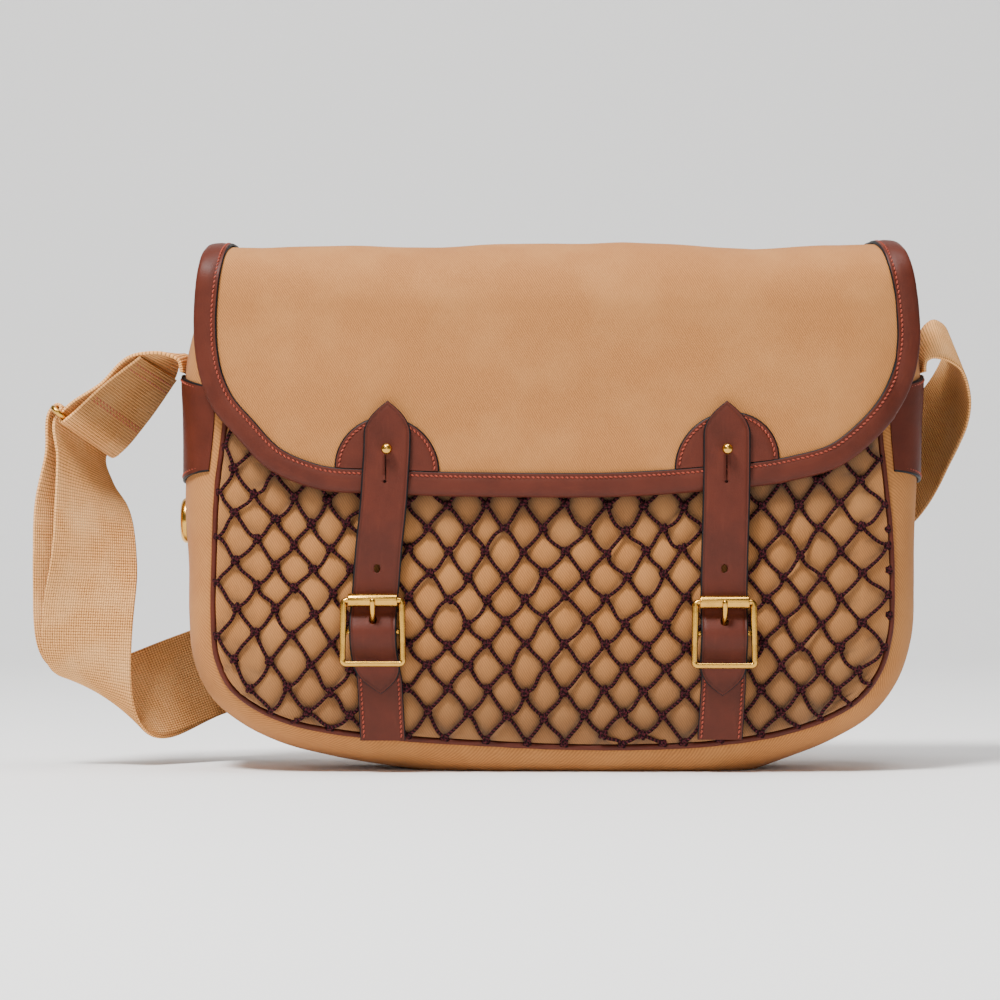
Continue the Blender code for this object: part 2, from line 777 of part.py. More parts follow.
def flap_binding():
    """The leather strip folded over the flap's curved edge, from the back over both sides."""
    half = FLAP_THICKNESS / 2 + BINDING_GAP
    outer = half + BINDING_WALL
    section = np.array([
        (BINDING_WIDTH, half),
        (BINDING_WIDTH, outer),
        (0.0, outer),
        (-BINDING_FOLD, 0.0),
        (0.0, -outer),
        (BINDING_BACK_WIDTH, -outer),
        (BINDING_BACK_WIDTH, -half),
        (0.0, -half),
        (0.0, half),
    ])
    normals = outward_normals(FLAP_PATH)
    folded = (FLAP_PATH[:, 1] > FLAP_FOLD_Z - 6) & (FLAP_PATH[:, 1] < BINDING_END_W)
    chosen = np.flatnonzero(folded | (np.arange(len(FLAP_PATH)) % 2 == 0))
    path, normals = FLAP_PATH[chosen][:, None, :], normals[chosen][:, None, :]
    place = path - normals * section[None, :, :1]
    lift = np.broadcast_to(section[None, :, 1], place.shape[:2])
    grid = flap_point(place[..., 0], place[..., 1], lift)
    rows, columns = grid.shape[:2]
    faces = grid_faces(rows, columns, wrap=True)
    ends = tuple(range(columns))
    faces.append(ends[::-1])
    faces.append(tuple((rows - 1) * columns + j for j in ends))
    closed_mesh("flap_binding", grid, faces, LEATHER_BROWN)


def flap_foot(x):
    """The height of the flap's lower edge at a place across."""
    low = FLAP_PATH[FLAP_PATH[:, 1] < 190]
    return np.interp(x, low[:, 0], low[:, 1])


def half_round_patch(side):
    """A half-round leather patch on the flap, above its binding."""
    u = np.linspace(-1, 1, 9)
    x = HALF_ROUND_X[side] + HALF_ROUND_RADIUS * np.sin(u * math.asin(HALF_ROUND_EDGE))
    foot = flap_foot(x) + BINDING_WIDTH + HALF_ROUND_GAP
    reach = np.sqrt(1 - ((x - HALF_ROUND_X[side]) / HALF_ROUND_RADIUS) ** 2)
    top = foot.mean() + HALF_ROUND_RADIUS * reach
    v = np.linspace(0, 1, 5)[None, :]
    z = foot[:, None] * (1 - v) + top[:, None] * v
    x = np.broadcast_to(x[:, None], z.shape)
    lift = np.full(z.shape, FLAP_THICKNESS / 2 + GAP)
    grid = flap_point(x, z, lift)
    sheet("strap_patch_" + side, grid, HALF_ROUND_WALL, 1, LEATHER_BROWN, flip=True)


def pointed(distance, length):
    """The part of the full half-width at a distance from an end cut as a pointed arch."""
    t = np.clip(distance / length, 0, 1)
    return np.maximum(1 - (1 - t) ** 2, STRAP_TIP_END)


def closure_strap(side, table):
    """A leather strap from its pointed top on the flap, through the buckle, to its pointed end."""
    rows = smooth_even(table, STRAP_ROWS, measured=3)
    z, x, lift = rows.T
    width = STRAP_WIDTH / 2 * pointed(z[0] - z, STRAP_TOP_TIP) * pointed(z - z[-1], STRAP_LOW_TIP)
    place = x[:, None] + width[:, None] * np.array([-1.0, 0.0, 1.0])[None, :]
    height = np.broadcast_to(z[:, None], place.shape)
    y = front_y(place, height) - lift[:, None]
    grid = np.stack([place, y, height], axis=-1)
    strap = sheet("closure_strap_" + side, grid, STRAP_WALL, 1, LEATHER_BROWN, flip=True)
    centre_x, centre_z = BUCKLES[side]
    low = (centre_x - HOLE_WIDTH / 2, -90, centre_z + HOLE_Z[0])
    high = (centre_x + HOLE_WIDTH / 2, -40, centre_z + HOLE_Z[1])
    boolean(strap, box_helper("strap_hole_" + side, low, high), "DIFFERENCE")


def stud(side, table):
    """The brass ball stud in the upper part of a strap."""
    x = np.interp(STUD_Z, table[::-1, 0], table[::-1, 1])
    lift = np.interp(STUD_Z, table[::-1, 0], table[::-1, 2])
    y = front_y(x, STUD_Z) - lift - STRAP_WALL - STUD_GAP
    add_stud("strap_stud_" + side, STUD_PROFILE, (x, y, STUD_Z), (0, -1, 0), BRASS)


def buckle(side):
    """A brass roller buckle: a frame with a set-back centre bar, a roller and a tongue."""
    x, z = BUCKLES[side]
    face = float(front_y(x, z))
    half = BUCKLE_WIDTH / 2 - BUCKLE_WIRE
    frame = []
    for sign_x, sign_z in ((-1, 1), (1, 1), (1, -1), (-1, -1)):
        edge_z = BUCKLE_TOP if sign_z > 0 else BUCKLE_BOTTOM
        first = (x + sign_x * (half - BUCKLE_CORNER), z + edge_z)
        second = (x + sign_x * half, z + edge_z - sign_z * BUCKLE_CORNER)
        pair = (first, second) if sign_x * sign_z > 0 else (second, first)
        frame.extend((a, face - BUCKLE_LIFT, b) for a, b in pair)
    piece = add_tube("buckle_frame_" + side, frame, BUCKLE_WIRE, BRASS, closed=True)
    back = face - CENTRE_BAR_LIFT
    front = face - BUCKLE_LIFT
    bar = [
        (x - half, front, z),
        (x - half + BAR_BEND, back, z),
        (x + half - BAR_BEND, back, z),
        (x + half, front, z),
    ]
    boolean(piece, helper("centre_bar_" + side, tube_mesh(bar, CENTRE_BAR_RADIUS)), "UNION")
    ring = np.array([
        (ROLLER_BORE, -ROLLER_LENGTH / 2),
        (ROLLER_RADIUS, -ROLLER_LENGTH / 2),
        (ROLLER_RADIUS, ROLLER_LENGTH / 2),
        (ROLLER_BORE, ROLLER_LENGTH / 2),
    ])
    add_ring("buckle_roller_" + side, ring, (x, front, z + BUCKLE_TOP), (1, 0, 0), BRASS, 14)
    tongue = [(x, face - lift, z + height) for height, lift in TONGUE]
    add_tube("buckle_tongue_" + side, tongue, TONGUE_RADIUS, BRASS)


def buckle_tab(side):
    """The leather chape: up the front from the piping, round the centre bar and down a little."""
    x, z = BUCKLES[side]
    foot_x, foot_z = TAB_FOOT[side]
    inner = TAB_LIFT + TAB_WALL / 2
    wrap = CENTRE_BAR_LIFT - inner
    turn = np.linspace(0, math.pi, 7)
    rise = np.linspace(foot_z, z - 3, TAB_ROWS)
    heights = np.concatenate([rise, z + wrap * np.sin(turn), z - TAB_END[:, 0]])
    lifts = np.concatenate([np.full(TAB_ROWS, inner), CENTRE_BAR_LIFT - wrap * np.cos(turn), TAB_END[:, 1]])
    bend_x = x + (foot_x - x) * TAB_LEAN[side]
    middle = np.interp(heights, [foot_z, TAB_BEND_Z, z], [foot_x, bend_x, x])
    place = middle[:, None] + TAB_WIDTH / 2 * np.array([-1.0, 0.0, 1.0])
    height = np.broadcast_to(heights[:, None], place.shape)
    y = front_y(place, height) - lifts[:, None]
    tab = sheet("buckle_tab_" + side, np.stack([place, y, height], axis=-1), TAB_WALL, 0, LEATHER_BROWN)
    low = (x - SLOT_WIDTH / 2, -90, z + SLOT_Z[0])
    high = (x + SLOT_WIDTH / 2, float(front_y(x, z)) - CENTRE_BAR_LIFT - SLOT_CLEARANCE, z + SLOT_Z[1])
    boolean(tab, box_helper("tab_slot_" + side, low, high), "DIFFERENCE")


def side_patch(side):
    """A leather patch across a gusset, with curved top and bottom edges."""
    half = SEAM_COUNT // 2
    column = SEAM_PATH[:half] if side == "left" else SEAM_PATH[half:][::-1]
    normal = SEAM_NORMALS[:half] if side == "left" else SEAM_NORMALS[half:][::-1]
    across = GUSSET_ACROSS[1:-1]
    top = PATCH_TOP_Z - PATCH_CURVE * across**2
    foot = PATCH_FOOT_Z + PATCH_CURVE * across**2
    v = np.linspace(0, 1, 6)[:, None]
    z = foot[None, :] * (1 - v) + top[None, :] * v
    order = np.argsort(column[:, 1])
    height = column[order, 1]
    seam = np.stack([np.interp(z, height, column[order, k]) for k in range(3)], axis=-1)
    turned_normal = np.stack([np.interp(z, height, normal[order, k]) for k in range(2)], axis=-1)
    grid = gusset_point(seam, turned_normal, np.broadcast_to(across[None, :], z.shape), PATCH_GAP)
    sheet("side_patch_" + side, grid, LEATHER, 1, LEATHER_BROWN, flip=side == "left")


def vent_eyelet():
    """The domed brass eyelet on the left gusset."""
    order = np.argsort(SEAM_PATH[: SEAM_COUNT // 2, 1])
    column = SEAM_PATH[: SEAM_COUNT // 2][order]
    x = np.interp(EYELET_Z, column[:, 1], column[:, 0] - column[:, 2]) - GUSSET_CLEARANCE - EYELET_GAP
    add_ring("vent_eyelet", EYELET_PROFILE, (x, 0.0, EYELET_Z), (-1, 0, 0), BRASS)


def band(name, rows, step=11.0):
    """A stretch of webbing through rows of front and back edge points."""
    rows = smooth_rows(rows, step)
    grid = rows.reshape(-1, 2, 3)
    return sheet(name, grid, WEBBING, 0, WEBBING_TAN)


def across_row(centre):
    """A row of the band at the brass loop, along its bars."""
    half = LOOP_AXIS * SLING_WIDTH / 2
    return np.concatenate([centre - half, centre + half])


def loop_directions():
    """The loop's bar direction, the short strap's direction towards it, and the way from bar to bar."""
    axis = LOOP_AXIS / np.linalg.norm(LOOP_AXIS)
    down = LOOP_DOWN - axis * (LOOP_DOWN @ axis)
    down /= np.linalg.norm(down)
    away = np.cross(axis, down)
    return axis, down, away if away[2] > 0 else -away


def wrap_rows(bar, start, over, count=7):
    """Rows that turn half round a bar, from the start side over its far side."""
    radius = LOOP_WIRE + LOOP_CLEARANCE + WEBBING / 2
    angles = np.linspace(0, math.pi, count)
    return [across_row(bar + radius * (start * math.cos(a) + over * math.sin(a))) for a in angles]


def short_strap():
    """The short strap from the left patch to the loop's first bar, and its tail below it."""
    down, away = loop_directions()[1:]
    rows = list(SHORT_STRAP) + wrap_rows(LOOP_CENTRE, away, down)
    lower = np.tile(-away * TAIL_OFFSET, 2)
    rows.append(SHORT_STRAP[-1] + lower)
    rows.append(SHORT_STRAP[-2] + lower + np.tile(down * 1.0, 2))
    band("sling_short", np.array(rows))


def rolled_row(side_offset, along, y, radius):
    """A row of a ply where it rolls round the slanting axis at the lower left.

    A flat strip comes straight down. Its part past the axis goes round a cylinder of this
    radius and on behind.
    """
    axis = np.array([math.cos(TURN_ANGLE), math.sin(TURN_ANGLE)])
    past = np.array([axis[1], -axis[0]])
    row = []
    for half in (-SLING_WIDTH / 2, SLING_WIDTH / 2):
        flat = TURN_EDGE + np.array([half + side_offset, -along])
        distance = (flat - TURN_EDGE) @ past + radius
        on_axis = TURN_EDGE + axis * ((flat - TURN_EDGE) @ axis) - past * radius
        angle = np.clip(distance / radius, 0, math.pi)
        beyond = max(distance - math.pi * radius, 0.0)
        reach = min(distance, 0.0) + radius * math.sin(angle) - beyond
        place = on_axis + past * reach
        row.extend((place[0], y + radius * (1 - math.cos(angle)), place[1]))
    return np.array(row)


def turn_rows(y, radius, side_offset):
    """All rows of a ply's turn, from the front down and back."""
    alongs = np.linspace(-26.0, 52.0, TURN_ROWS)
    return [rolled_row(side_offset, along, y, radius) for along in alongs]


def behind_rows(lift, last_x=None):
    """Rows of the run behind the bag, its upper edge first, standing off by lift."""
    ahead = np.gradient(BEHIND, axis=0)
    ahead /= np.linalg.norm(ahead, axis=1, keepdims=True)
    up = np.stack([-ahead[:, 2], np.zeros(len(ahead)), ahead[:, 0]], axis=1)
    up /= np.linalg.norm(up, axis=1, keepdims=True)
    out = np.cross(ahead, up)
    out *= np.sign(out[:, 1:2])
    centre = BEHIND + out * lift
    rows = np.concatenate([centre + up * SLING_WIDTH / 2, centre - up * SLING_WIDTH / 2], axis=1)
    if last_x is None:
        return list(rows)
    fine = smooth_rows(rows, 20.0)
    return list(fine[fine[:, 0] < last_x][::2])


def long_strap():
    """The long strap: right patch, behind the bag, up to the loop, down again and sewn down behind."""
    down, away = loop_directions()[1:]
    bar = LOOP_CENTRE + away * LOOP_SPACING
    shift = np.array([(x, y, 0.0, x, y, 0.0) for x, y in BACK_PLY_SHIFT])
    back_ply = FRONT_PLY + shift
    rows = list(RIGHT_END[::-1])
    rows += behind_rows(0.0)[::-1]
    rows += turn_rows(TURN_Y + TURN_SPACING, TURN_INNER_RADIUS, TURN_SHIFT)[::-1]
    rows += list(back_ply[::-1])
    rows += wrap_rows(bar, away, -down)
    rows.append(across_row(LOOP_CENTRE + (down + away) * LOOP_SPACING / 2))
    rows += list(FRONT_PLY)
    rows += turn_rows(TURN_Y, TURN_RADIUS, 0.0)
    rows += behind_rows(SEWN_PLY_GAP, SEWN_END_X)
    band("sling_long", np.array(rows))


def sling_loop():
    """The brass loop with two bars that joins the short strap to the long one."""
    axis, down, away = loop_directions()
    path = []
    half = LOOP_SPACING / 2
    centre = LOOP_CENTRE + away * half
    for end, start in ((1, -math.pi / 2), (-1, math.pi / 2)):
        for angle in start + np.linspace(0, math.pi, 6):
            reach = end * LOOP_HALF + half * math.cos(angle)
            path.append(centre + axis * reach + away * half * math.sin(angle))
    add_tube("sling_loop", path, LOOP_WIRE, BRASS, closed=True)


clear_scene()
BAG = new_collection("hunting_game_bag")
GUIDES = new_collection("cutters")
DRILL_TAN = finish("cotton drill", (0.58, 0.36, 0.17), 0.9)
WEBBING_TAN = finish("cotton webbing", (0.62, 0.42, 0.23), 0.92)
LEATHER_BROWN = finish("bridle leather", (0.16, 0.05, 0.03), 0.55)
CORD_BROWN = finish("net cord", (0.035, 0.008, 0.01), 0.8)
BRASS = finish("brass", (0.62, 0.42, 0.16), 0.28, 1.0)

body_panels()
gusset()
piping()
net()
flap()
flap_binding()
for name, strap_table in (("left", LEFT_STRAP), ("right", RIGHT_STRAP)):
    half_round_patch(name)
    closure_strap(name, strap_table)
    stud(name, strap_table)
    buckle(name)
    buckle_tab(name)
    side_patch(name)
vent_eyelet()
short_strap()
long_strap()
sling_loop()
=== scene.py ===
"""Dressed model of a hunting game bag: drill body, knotted net front, bound flap, buckled straps, sling.

The bag stands on the floor at the origin with its front towards -Y. Sizes and places are in
millimetres and become metres only where a mesh is made.
"""

import logging
import math
from dataclasses import dataclass, field
from enum import Enum

import bmesh
import bpy
import numpy as np
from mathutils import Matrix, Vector


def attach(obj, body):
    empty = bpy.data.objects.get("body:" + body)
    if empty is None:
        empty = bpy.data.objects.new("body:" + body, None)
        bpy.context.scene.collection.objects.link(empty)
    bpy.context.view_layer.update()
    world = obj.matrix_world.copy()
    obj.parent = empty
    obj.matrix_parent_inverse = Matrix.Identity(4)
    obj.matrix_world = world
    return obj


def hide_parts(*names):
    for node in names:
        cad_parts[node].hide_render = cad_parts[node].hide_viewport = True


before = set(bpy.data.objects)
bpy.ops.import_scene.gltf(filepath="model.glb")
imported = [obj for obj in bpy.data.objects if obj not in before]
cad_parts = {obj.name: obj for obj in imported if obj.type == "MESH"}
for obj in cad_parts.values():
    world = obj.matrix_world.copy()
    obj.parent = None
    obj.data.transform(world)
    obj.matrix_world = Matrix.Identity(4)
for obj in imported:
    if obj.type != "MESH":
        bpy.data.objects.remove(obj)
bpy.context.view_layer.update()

LOG = logging.getLogger("game_bag")
MM = 0.001
BODY = "root"
FORWARDS = np.array([0.0, -1.0, 0.0])
BACKWARDS = np.array([0.0, 1.0, 0.0])
TO_THE_RIGHT = np.array([1.0, 0.0, 0.0])
ROUND_PATTERN = 2.1

Grid = np.ndarray
Socket = bpy.types.NodeSocket


class Side(Enum):
    """Which half of the bag a paired piece is on, in the front view."""

    LEFT = "left"
    RIGHT = "right"


class Closing(Enum):
    """How a swept section closes on itself."""

    ENDS = "flat ends"
    RING = "joined ends"


def linear(colour: str) -> tuple[float, float, float, float]:
    """Turns an sRGB hex colour into the linear one that shaders use.

    Args:
        colour: six hex digits after a hash mark.

    Returns:
        Linear red, green and blue, and an alpha of one.
    """
    parts = [int(colour[i:i + 2], 16) / 255 for i in (1, 3, 5)]
    return (*[p / 12.92 if p <= 0.04045 else ((p + 0.055) / 1.055) ** 2.4 for p in parts], 1.0)


def add_node(tree: bpy.types.NodeTree, kind: str, links: dict | None = None, values: dict | None = None,
             **settings: object) -> bpy.types.Node:
    """Adds a shader node with its settings, its fixed inputs and its links.

    Args:
        tree: the material's node tree.
        kind: the node's type.
        links: input name or number to the socket that feeds it.
        values: input name or number to its fixed value.
        settings: attributes of the node itself.

    Returns:
        The new node.
    """
    node = tree.nodes.new(kind)
    for name, value in settings.items():
        setattr(node, name, value)
    for key, value in (values or {}).items():
        node.inputs[key].default_value = value
    for key, socket in (links or {}).items():
        tree.links.new(socket, node.inputs[key])
    return node


def blank_material(name: str, values: dict) -> tuple[bpy.types.Material, bpy.types.NodeTree, bpy.types.Node]:
    """A material that holds only its Principled shader and its output.

    Args:
        name: the material's name.
        values: the shader's fixed inputs.

    Returns:
        The material, its tree and its shader.
    """
    material = bpy.data.materials.new(name)
    material.use_nodes = True
    tree = material.node_tree
    tree.nodes.clear()
    shader = add_node(tree, "ShaderNodeBsdfPrincipled", values=values)
    add_node(tree, "ShaderNodeOutputMaterial", {"Surface": shader.outputs["BSDF"]})
    return material, tree, shader


def wave(tree: bpy.types.NodeTree, value: Socket, pitch: float, phase: float = 0.0) -> Socket:
    """A sine of a value in millimetres, from 0 to 1, that repeats every pitch."""
    turns = add_node(tree, "ShaderNodeMath", {0: value}, {1: 2 * math.pi / pitch, 2: phase},
                     operation="MULTIPLY_ADD")
    sine = add_node(tree, "ShaderNodeMath", {0: turns.outputs[0]}, operation="SINE")
    half = add_node(tree, "ShaderNodeMath", {0: sine.outputs[0]}, {1: 0.5, 2: 0.5},
                    operation="MULTIPLY_ADD")
    return half.outputs[0]


def combine(tree: bpy.types.NodeTree, operation: str, first: Socket, second: Socket | float) -> Socket:
    """One Math node on a socket and a second socket or number."""
    if isinstance(second, (int, float)):
        return add_node(tree, "ShaderNodeMath", {0: first}, {1: second}, operation=operation).outputs[0]
    return add_node(tree, "ShaderNodeMath", {0: first, 1: second}, operation=operation).outputs[0]


def noise(tree: bpy.types.NodeTree, vector: Socket, size: float, detail: float = 3.0) -> Socket:
    """Soft noise whose blotches are about this many millimetres across, on coordinates in millimetres."""
    return add_node(tree, "ShaderNodeTexNoise", {"Vector": vector},
                    {"Scale": 1 / size, "Detail": detail, "Roughness": 0.55}).outputs["Fac"]


def stretch(tree: bpy.types.NodeTree, vector: Socket, scale: tuple[float, float, float],
            turn: float = 0.0) -> Socket:
    """The vector scaled on each axis and turned in its first plane."""
    return add_node(tree, "ShaderNodeMapping", {"Vector": vector},
                    {"Scale": scale, "Rotation": (0.0, 0.0, turn)}).outputs["Vector"]


def blend_colours(tree: bpy.types.NodeTree, factor: Socket, first: Socket | str, second: Socket | str,
                  reach: tuple[float, float] = (0.0, 1.0)) -> Socket:
    """Mixes two colours as the factor goes through its reach.

    Args:
        tree: the material's node tree.
        factor: what chooses between them.
        first: the colour at the low end, as a socket or a hex string.
        second: the colour at the high end, as a socket or a hex string.
        reach: the factor's values at which the mix is all first and all second.

    Returns:
        The mixed colour.
    """
    spread = add_node(tree, "ShaderNodeMapRange", {"Value": factor},
                      {"From Min": reach[0], "From Max": reach[1]}).outputs[0]
    mix = add_node(tree, "ShaderNodeMix", {0: spread}, data_type="RGBA")
    for slot_number, colour in ((6, first), (7, second)):
        if isinstance(colour, str):
            mix.inputs[slot_number].default_value = linear(colour)
        else:
            tree.links.new(colour, mix.inputs[slot_number])
    return mix.outputs[2]


def raise_surface(tree: bpy.types.NodeTree, shader: bpy.types.Node, height: Socket, depth: float) -> None:
    """Bumps the shader's normal by a height from 0 to 1 that stands for a depth in millimetres."""
    bump = add_node(tree, "ShaderNodeBump", {"Height": height}, {"Distance": depth * MM, "Strength": 1.0})
    tree.links.new(bump.outputs["Normal"], shader.inputs["Normal"])


def attribute(tree: bpy.types.NodeTree, name: str) -> bpy.types.Node:
    """A node that reads one of the mesh's own attributes."""
    return add_node(tree, "ShaderNodeAttribute", attribute_name=name)


@dataclass(frozen=True)
class CottonDrill:
    """Cotton drill, a warp-faced twill: matt, with fine diagonal ribs and a slight fuzz.

    Real drill has about 16 ribs to the centimetre. They are drawn at rib_pitch, half as many,
    which is the finest that the render can show.
    """

    name: str = "cotton drill"
    base: str = "#B27640"
    shade: str = "#7D5230"
    light: str = "#C08850"
    # Colour of the painted shade on the front canvas.
    painted_shade_colour: str = "#4D3E33"
    rib_pitch: float = 1.1
    rib_angle: float = math.radians(-32)
    rib_depth: float = 0.1

    def material(self) -> bpy.types.Material:
        """Builds the twill on the piece's own cloth coordinates."""
        material, tree, shader = blank_material(
            self.name, {"Roughness": 0.88, "Sheen Weight": 0.05,
                        "Sheen Roughness": 0.6, "Specular IOR Level": 0.12})
        cloth = attribute(tree, "cloth").outputs["Vector"]
        wander = noise(tree, cloth, 14.0)
        turned = add_node(tree, "ShaderNodeSeparateXYZ",
                          {0: stretch(tree, cloth, (1, 1, 1), self.rib_angle)}).outputs["X"]
        wavy = combine(tree, "ADD", turned, combine(tree, "MULTIPLY", wander, 2.0))
        ribs = wave(tree, wavy, self.rib_pitch)
        thread = noise(tree, stretch(tree, cloth, (1.6, 0.28, 1.0)), 1.3, 4.0)
        weave = combine(tree, "MULTIPLY", ribs, thread)
        blotch = noise(tree, cloth, 46.0, 4.0)
        colour = blend_colours(tree, weave, self.shade, self.base, (-0.25, 0.45))
        colour = blend_colours(tree, blotch, colour, self.light, (0.44, 1.15))
        # The crease attribute holds painted shade: under the flap's edge, along the net's cords, low and at
        # the right.
        colour = blend_colours(tree, attribute(tree, "crease").outputs["Fac"], colour, self.painted_shade_colour)
        tree.links.new(colour, shader.inputs["Base Color"])
        raise_surface(tree, shader, weave, self.rib_depth)
        return material


@dataclass(frozen=True)
class BridleLeather:
    """Vegetable-tanned leather, stained through and waxed: fine pores, a soft gloss, painted cut edges."""

    name: str = "bridle leather"
    base: str = "#532215"
    deep: str = "#3B160D"
    # Lighter streaks of real wear on the leather.
    wear_and_painted_shade: str = "#632D1D"
    paint: str = "#0A0C0F"
    pore: float = 0.9
    pore_depth: float = 0.07
    roughness: float = 0.5

    def material(self) -> bpy.types.Material:
        """Builds grain, stain and the painted edge, which the edge attribute places."""
        material, tree, shader = blank_material(self.name, {"Specular IOR Level": 0.2})
        cloth = attribute(tree, "cloth").outputs["Vector"]
        edge = attribute(tree, "edge").outputs["Fac"]
        crease = attribute(tree, "crease").outputs["Fac"]
        stain = noise(tree, cloth, 22.0, 5.0)
        streak = noise(tree, stretch(tree, cloth, (1.0, 0.16, 1.0)), 3.2, 4.0)
        pores = add_node(tree, "ShaderNodeTexVoronoi", {"Vector": cloth}, {"Scale": 1 / self.pore},
                         feature="F1").outputs["Distance"]
        colour = blend_colours(tree, stain, self.deep, self.base, (0.1, 0.6))
        colour = blend_colours(tree, streak, colour, self.wear_and_painted_shade, (0.56, 1.25))
        colour = blend_colours(tree, crease, colour, self.deep, (0.1, 1.1))
        colour = blend_colours(tree, edge, colour, self.paint, (0.4, 0.6))
        tree.links.new(colour, shader.inputs["Base Color"])
        grain = combine(tree, "ADD", combine(tree, "MULTIPLY", pores, 0.6),
                        noise(tree, cloth, 2.4, 4.0))
        raise_surface(tree, shader, grain, self.pore_depth)
        gloss = add_node(tree, "ShaderNodeMapRange", {"Value": stain},
                         {"To Min": self.roughness - 0.07, "To Max": self.roughness + 0.09}).outputs[0]
        tree.links.new(gloss, shader.inputs["Roughness"])
        return material


@dataclass(frozen=True)
class SewingThread:
    """Waxed linen thread: thick, twisted, rust orange."""

    name: str = "linen thread"
    base: str = "#AC4429"
    shade: str = "#6E2618"
    ply_pitch: float = 0.9

    def material(self) -> bpy.types.Material:
        """Builds the slanting plies on the stitch's own coordinates."""
        material, tree, shader = blank_material(self.name, {"Roughness": 0.62})
        along = add_node(tree, "ShaderNodeSeparateXYZ", {0: attribute(tree, "cloth").outputs["Vector"]})
        slant = combine(tree, "ADD", along.outputs["Y"], along.outputs["X"])
        ply = wave(tree, slant, self.ply_pitch)
        tree.links.new(blend_colours(tree, ply, self.shade, self.base), shader.inputs["Base Color"])
        raise_surface(tree, shader, ply, 0.12)
        return material


@dataclass(frozen=True)
class NetCord:
    """Braided cotton cord, dyed dark burgundy brown: matt, with slanting strands."""

    name: str = "net cord"
    base: str = "#330D12"
    shade: str = "#0C0203"
    light: str = "#55202A"
    strand_pitch: float = 2.1

    def material(self) -> bpy.types.Material:
        """Builds the strands on the cord's own round and long coordinates."""
        material, tree, shader = blank_material(self.name, {"Roughness": 0.8, "Specular IOR Level": 0.12})
        cloth = attribute(tree, "cloth").outputs["Vector"]
        along = add_node(tree, "ShaderNodeSeparateXYZ", {0: cloth})
        slant = combine(tree, "ADD", along.outputs["Y"], along.outputs["X"])
        strand = wave(tree, slant, self.strand_pitch)
        fuzz = noise(tree, cloth, 0.9, 3.0)
        colour = blend_colours(tree, strand, self.shade, self.base)
        colour = blend_colours(tree, combine(tree, "MULTIPLY", strand, fuzz), colour, self.light, (0.3, 0.75))
        tree.links.new(colour, shader.inputs["Base Color"])
        raise_surface(tree, shader, strand, 0.35)
        return material


@dataclass(frozen=True)
class CastBrass:
    """Solid brass, cast and tumbled: warm, bright, with soft dark spots where it was handled."""

    name: str = "solid brass"
    base: str = "#CE9C46"
    dull: str = "#B98A3C"
    roughness: float = 0.2

    def material(self) -> bpy.types.Material:
        """Builds tarnish and faint scratches on Object coordinates."""
        material, tree, shader = blank_material(self.name, {"Metallic": 1.0})
        place = add_node(tree, "ShaderNodeTexCoord").outputs["Object"]
        in_mm = stretch(tree, place, (1 / MM, 1 / MM, 1 / MM))
        tarnish = noise(tree, in_mm, 5.0, 5.0)
        scratch = noise(tree, stretch(tree, in_mm, (3.0, 0.4, 0.5)), 0.9, 2.0)
        tree.links.new(blend_colours(tree, tarnish, self.base, self.dull, (0.5, 0.85)),
                       shader.inputs["Base Color"])
        gloss = add_node(tree, "ShaderNodeMapRange", {"Value": tarnish},
                         {"To Min": self.roughness - 0.08, "To Max": self.roughness + 0.16}).outputs[0]
        tree.links.new(gloss, shader.inputs["Roughness"])
        raise_surface(tree, shader, scratch, 0.006)
        return material


@dataclass(frozen=True)
class CottonWebbing:
    """Heavy cotton webbing: plain weave with fat weft ribs across it and a round selvedge."""

    name: str = "cotton webbing"
    base: str = "#F4B06A"
    shade: str = "#6A4020"
    light: str = "#F4C48C"
    # Colour of the painted shade on the webbing.
    under: str = "#4A2D18"
    warp_pitch: float = 1.3
    weft_pitch: float = 1.6

    def material(self) -> bpy.types.Material:
        """Builds the weave: rows of dark pits where four threads meet."""
        material, tree, shader = blank_material(self.name, {"Roughness": 0.92, "Specular IOR Level": 0.12})
        cloth = attribute(tree, "cloth").outputs["Vector"]
        along = add_node(tree, "ShaderNodeSeparateXYZ", {0: cloth})
        weft = wave(tree, along.outputs["Y"], self.weft_pitch)
        warp = wave(tree, along.outputs["X"], self.warp_pitch)
        thread = combine(tree, "POWER", combine(tree, "MULTIPLY", warp, weft), 0.5)
        fuzz = noise(tree, cloth, 1.1, 4.0)
        knit = combine(tree, "ADD", combine(tree, "MULTIPLY", thread, 0.8),
                       combine(tree, "MULTIPLY", fuzz, 0.35))
        blotch = noise(tree, cloth, 38.0)
        colour = blend_colours(tree, knit, self.shade, self.base, (0.13, 0.58))
        colour = blend_colours(tree, blotch, colour, self.light, (0.45, 1.1))
        # The crease attribute holds painted shade: on the tail, the run behind the bag and the right loop's
        # inside.
        colour = blend_colours(tree, attribute(tree, "crease").outputs["Fac"], colour, self.under)
        tree.links.new(colour, shader.inputs["Base Color"])
        raise_surface(tree, shader, knit, 0.5)
        return material


@dataclass(frozen=True)
class StudioPaper:
    """Seamless backdrop paper, near white and matt."""

    name: str = "studio paper"
    base: str = "#F4F4F4"
    fibre: str = "#F7F7F7"

    def material(self) -> bpy.types.Material:
        """Builds the plain paper."""
        material, tree, shader = blank_material(self.name, {"Roughness": 0.9})
        place = add_node(tree, "ShaderNodeTexCoord").outputs["Object"]
        cloud = noise(tree, place, 0.4)
        tree.links.new(blend_colours(tree, cloud, self.base, self.fibre), shader.inputs["Base Color"])
        return material


@dataclass(frozen=True)
class Palette:
    """Every finish of the bag, made once."""

    drill: bpy.types.Material
    leather: bpy.types.Material
    thread: bpy.types.Material
    cord: bpy.types.Material
    brass: bpy.types.Material
    webbing: bpy.types.Material
    paper: bpy.types.Material


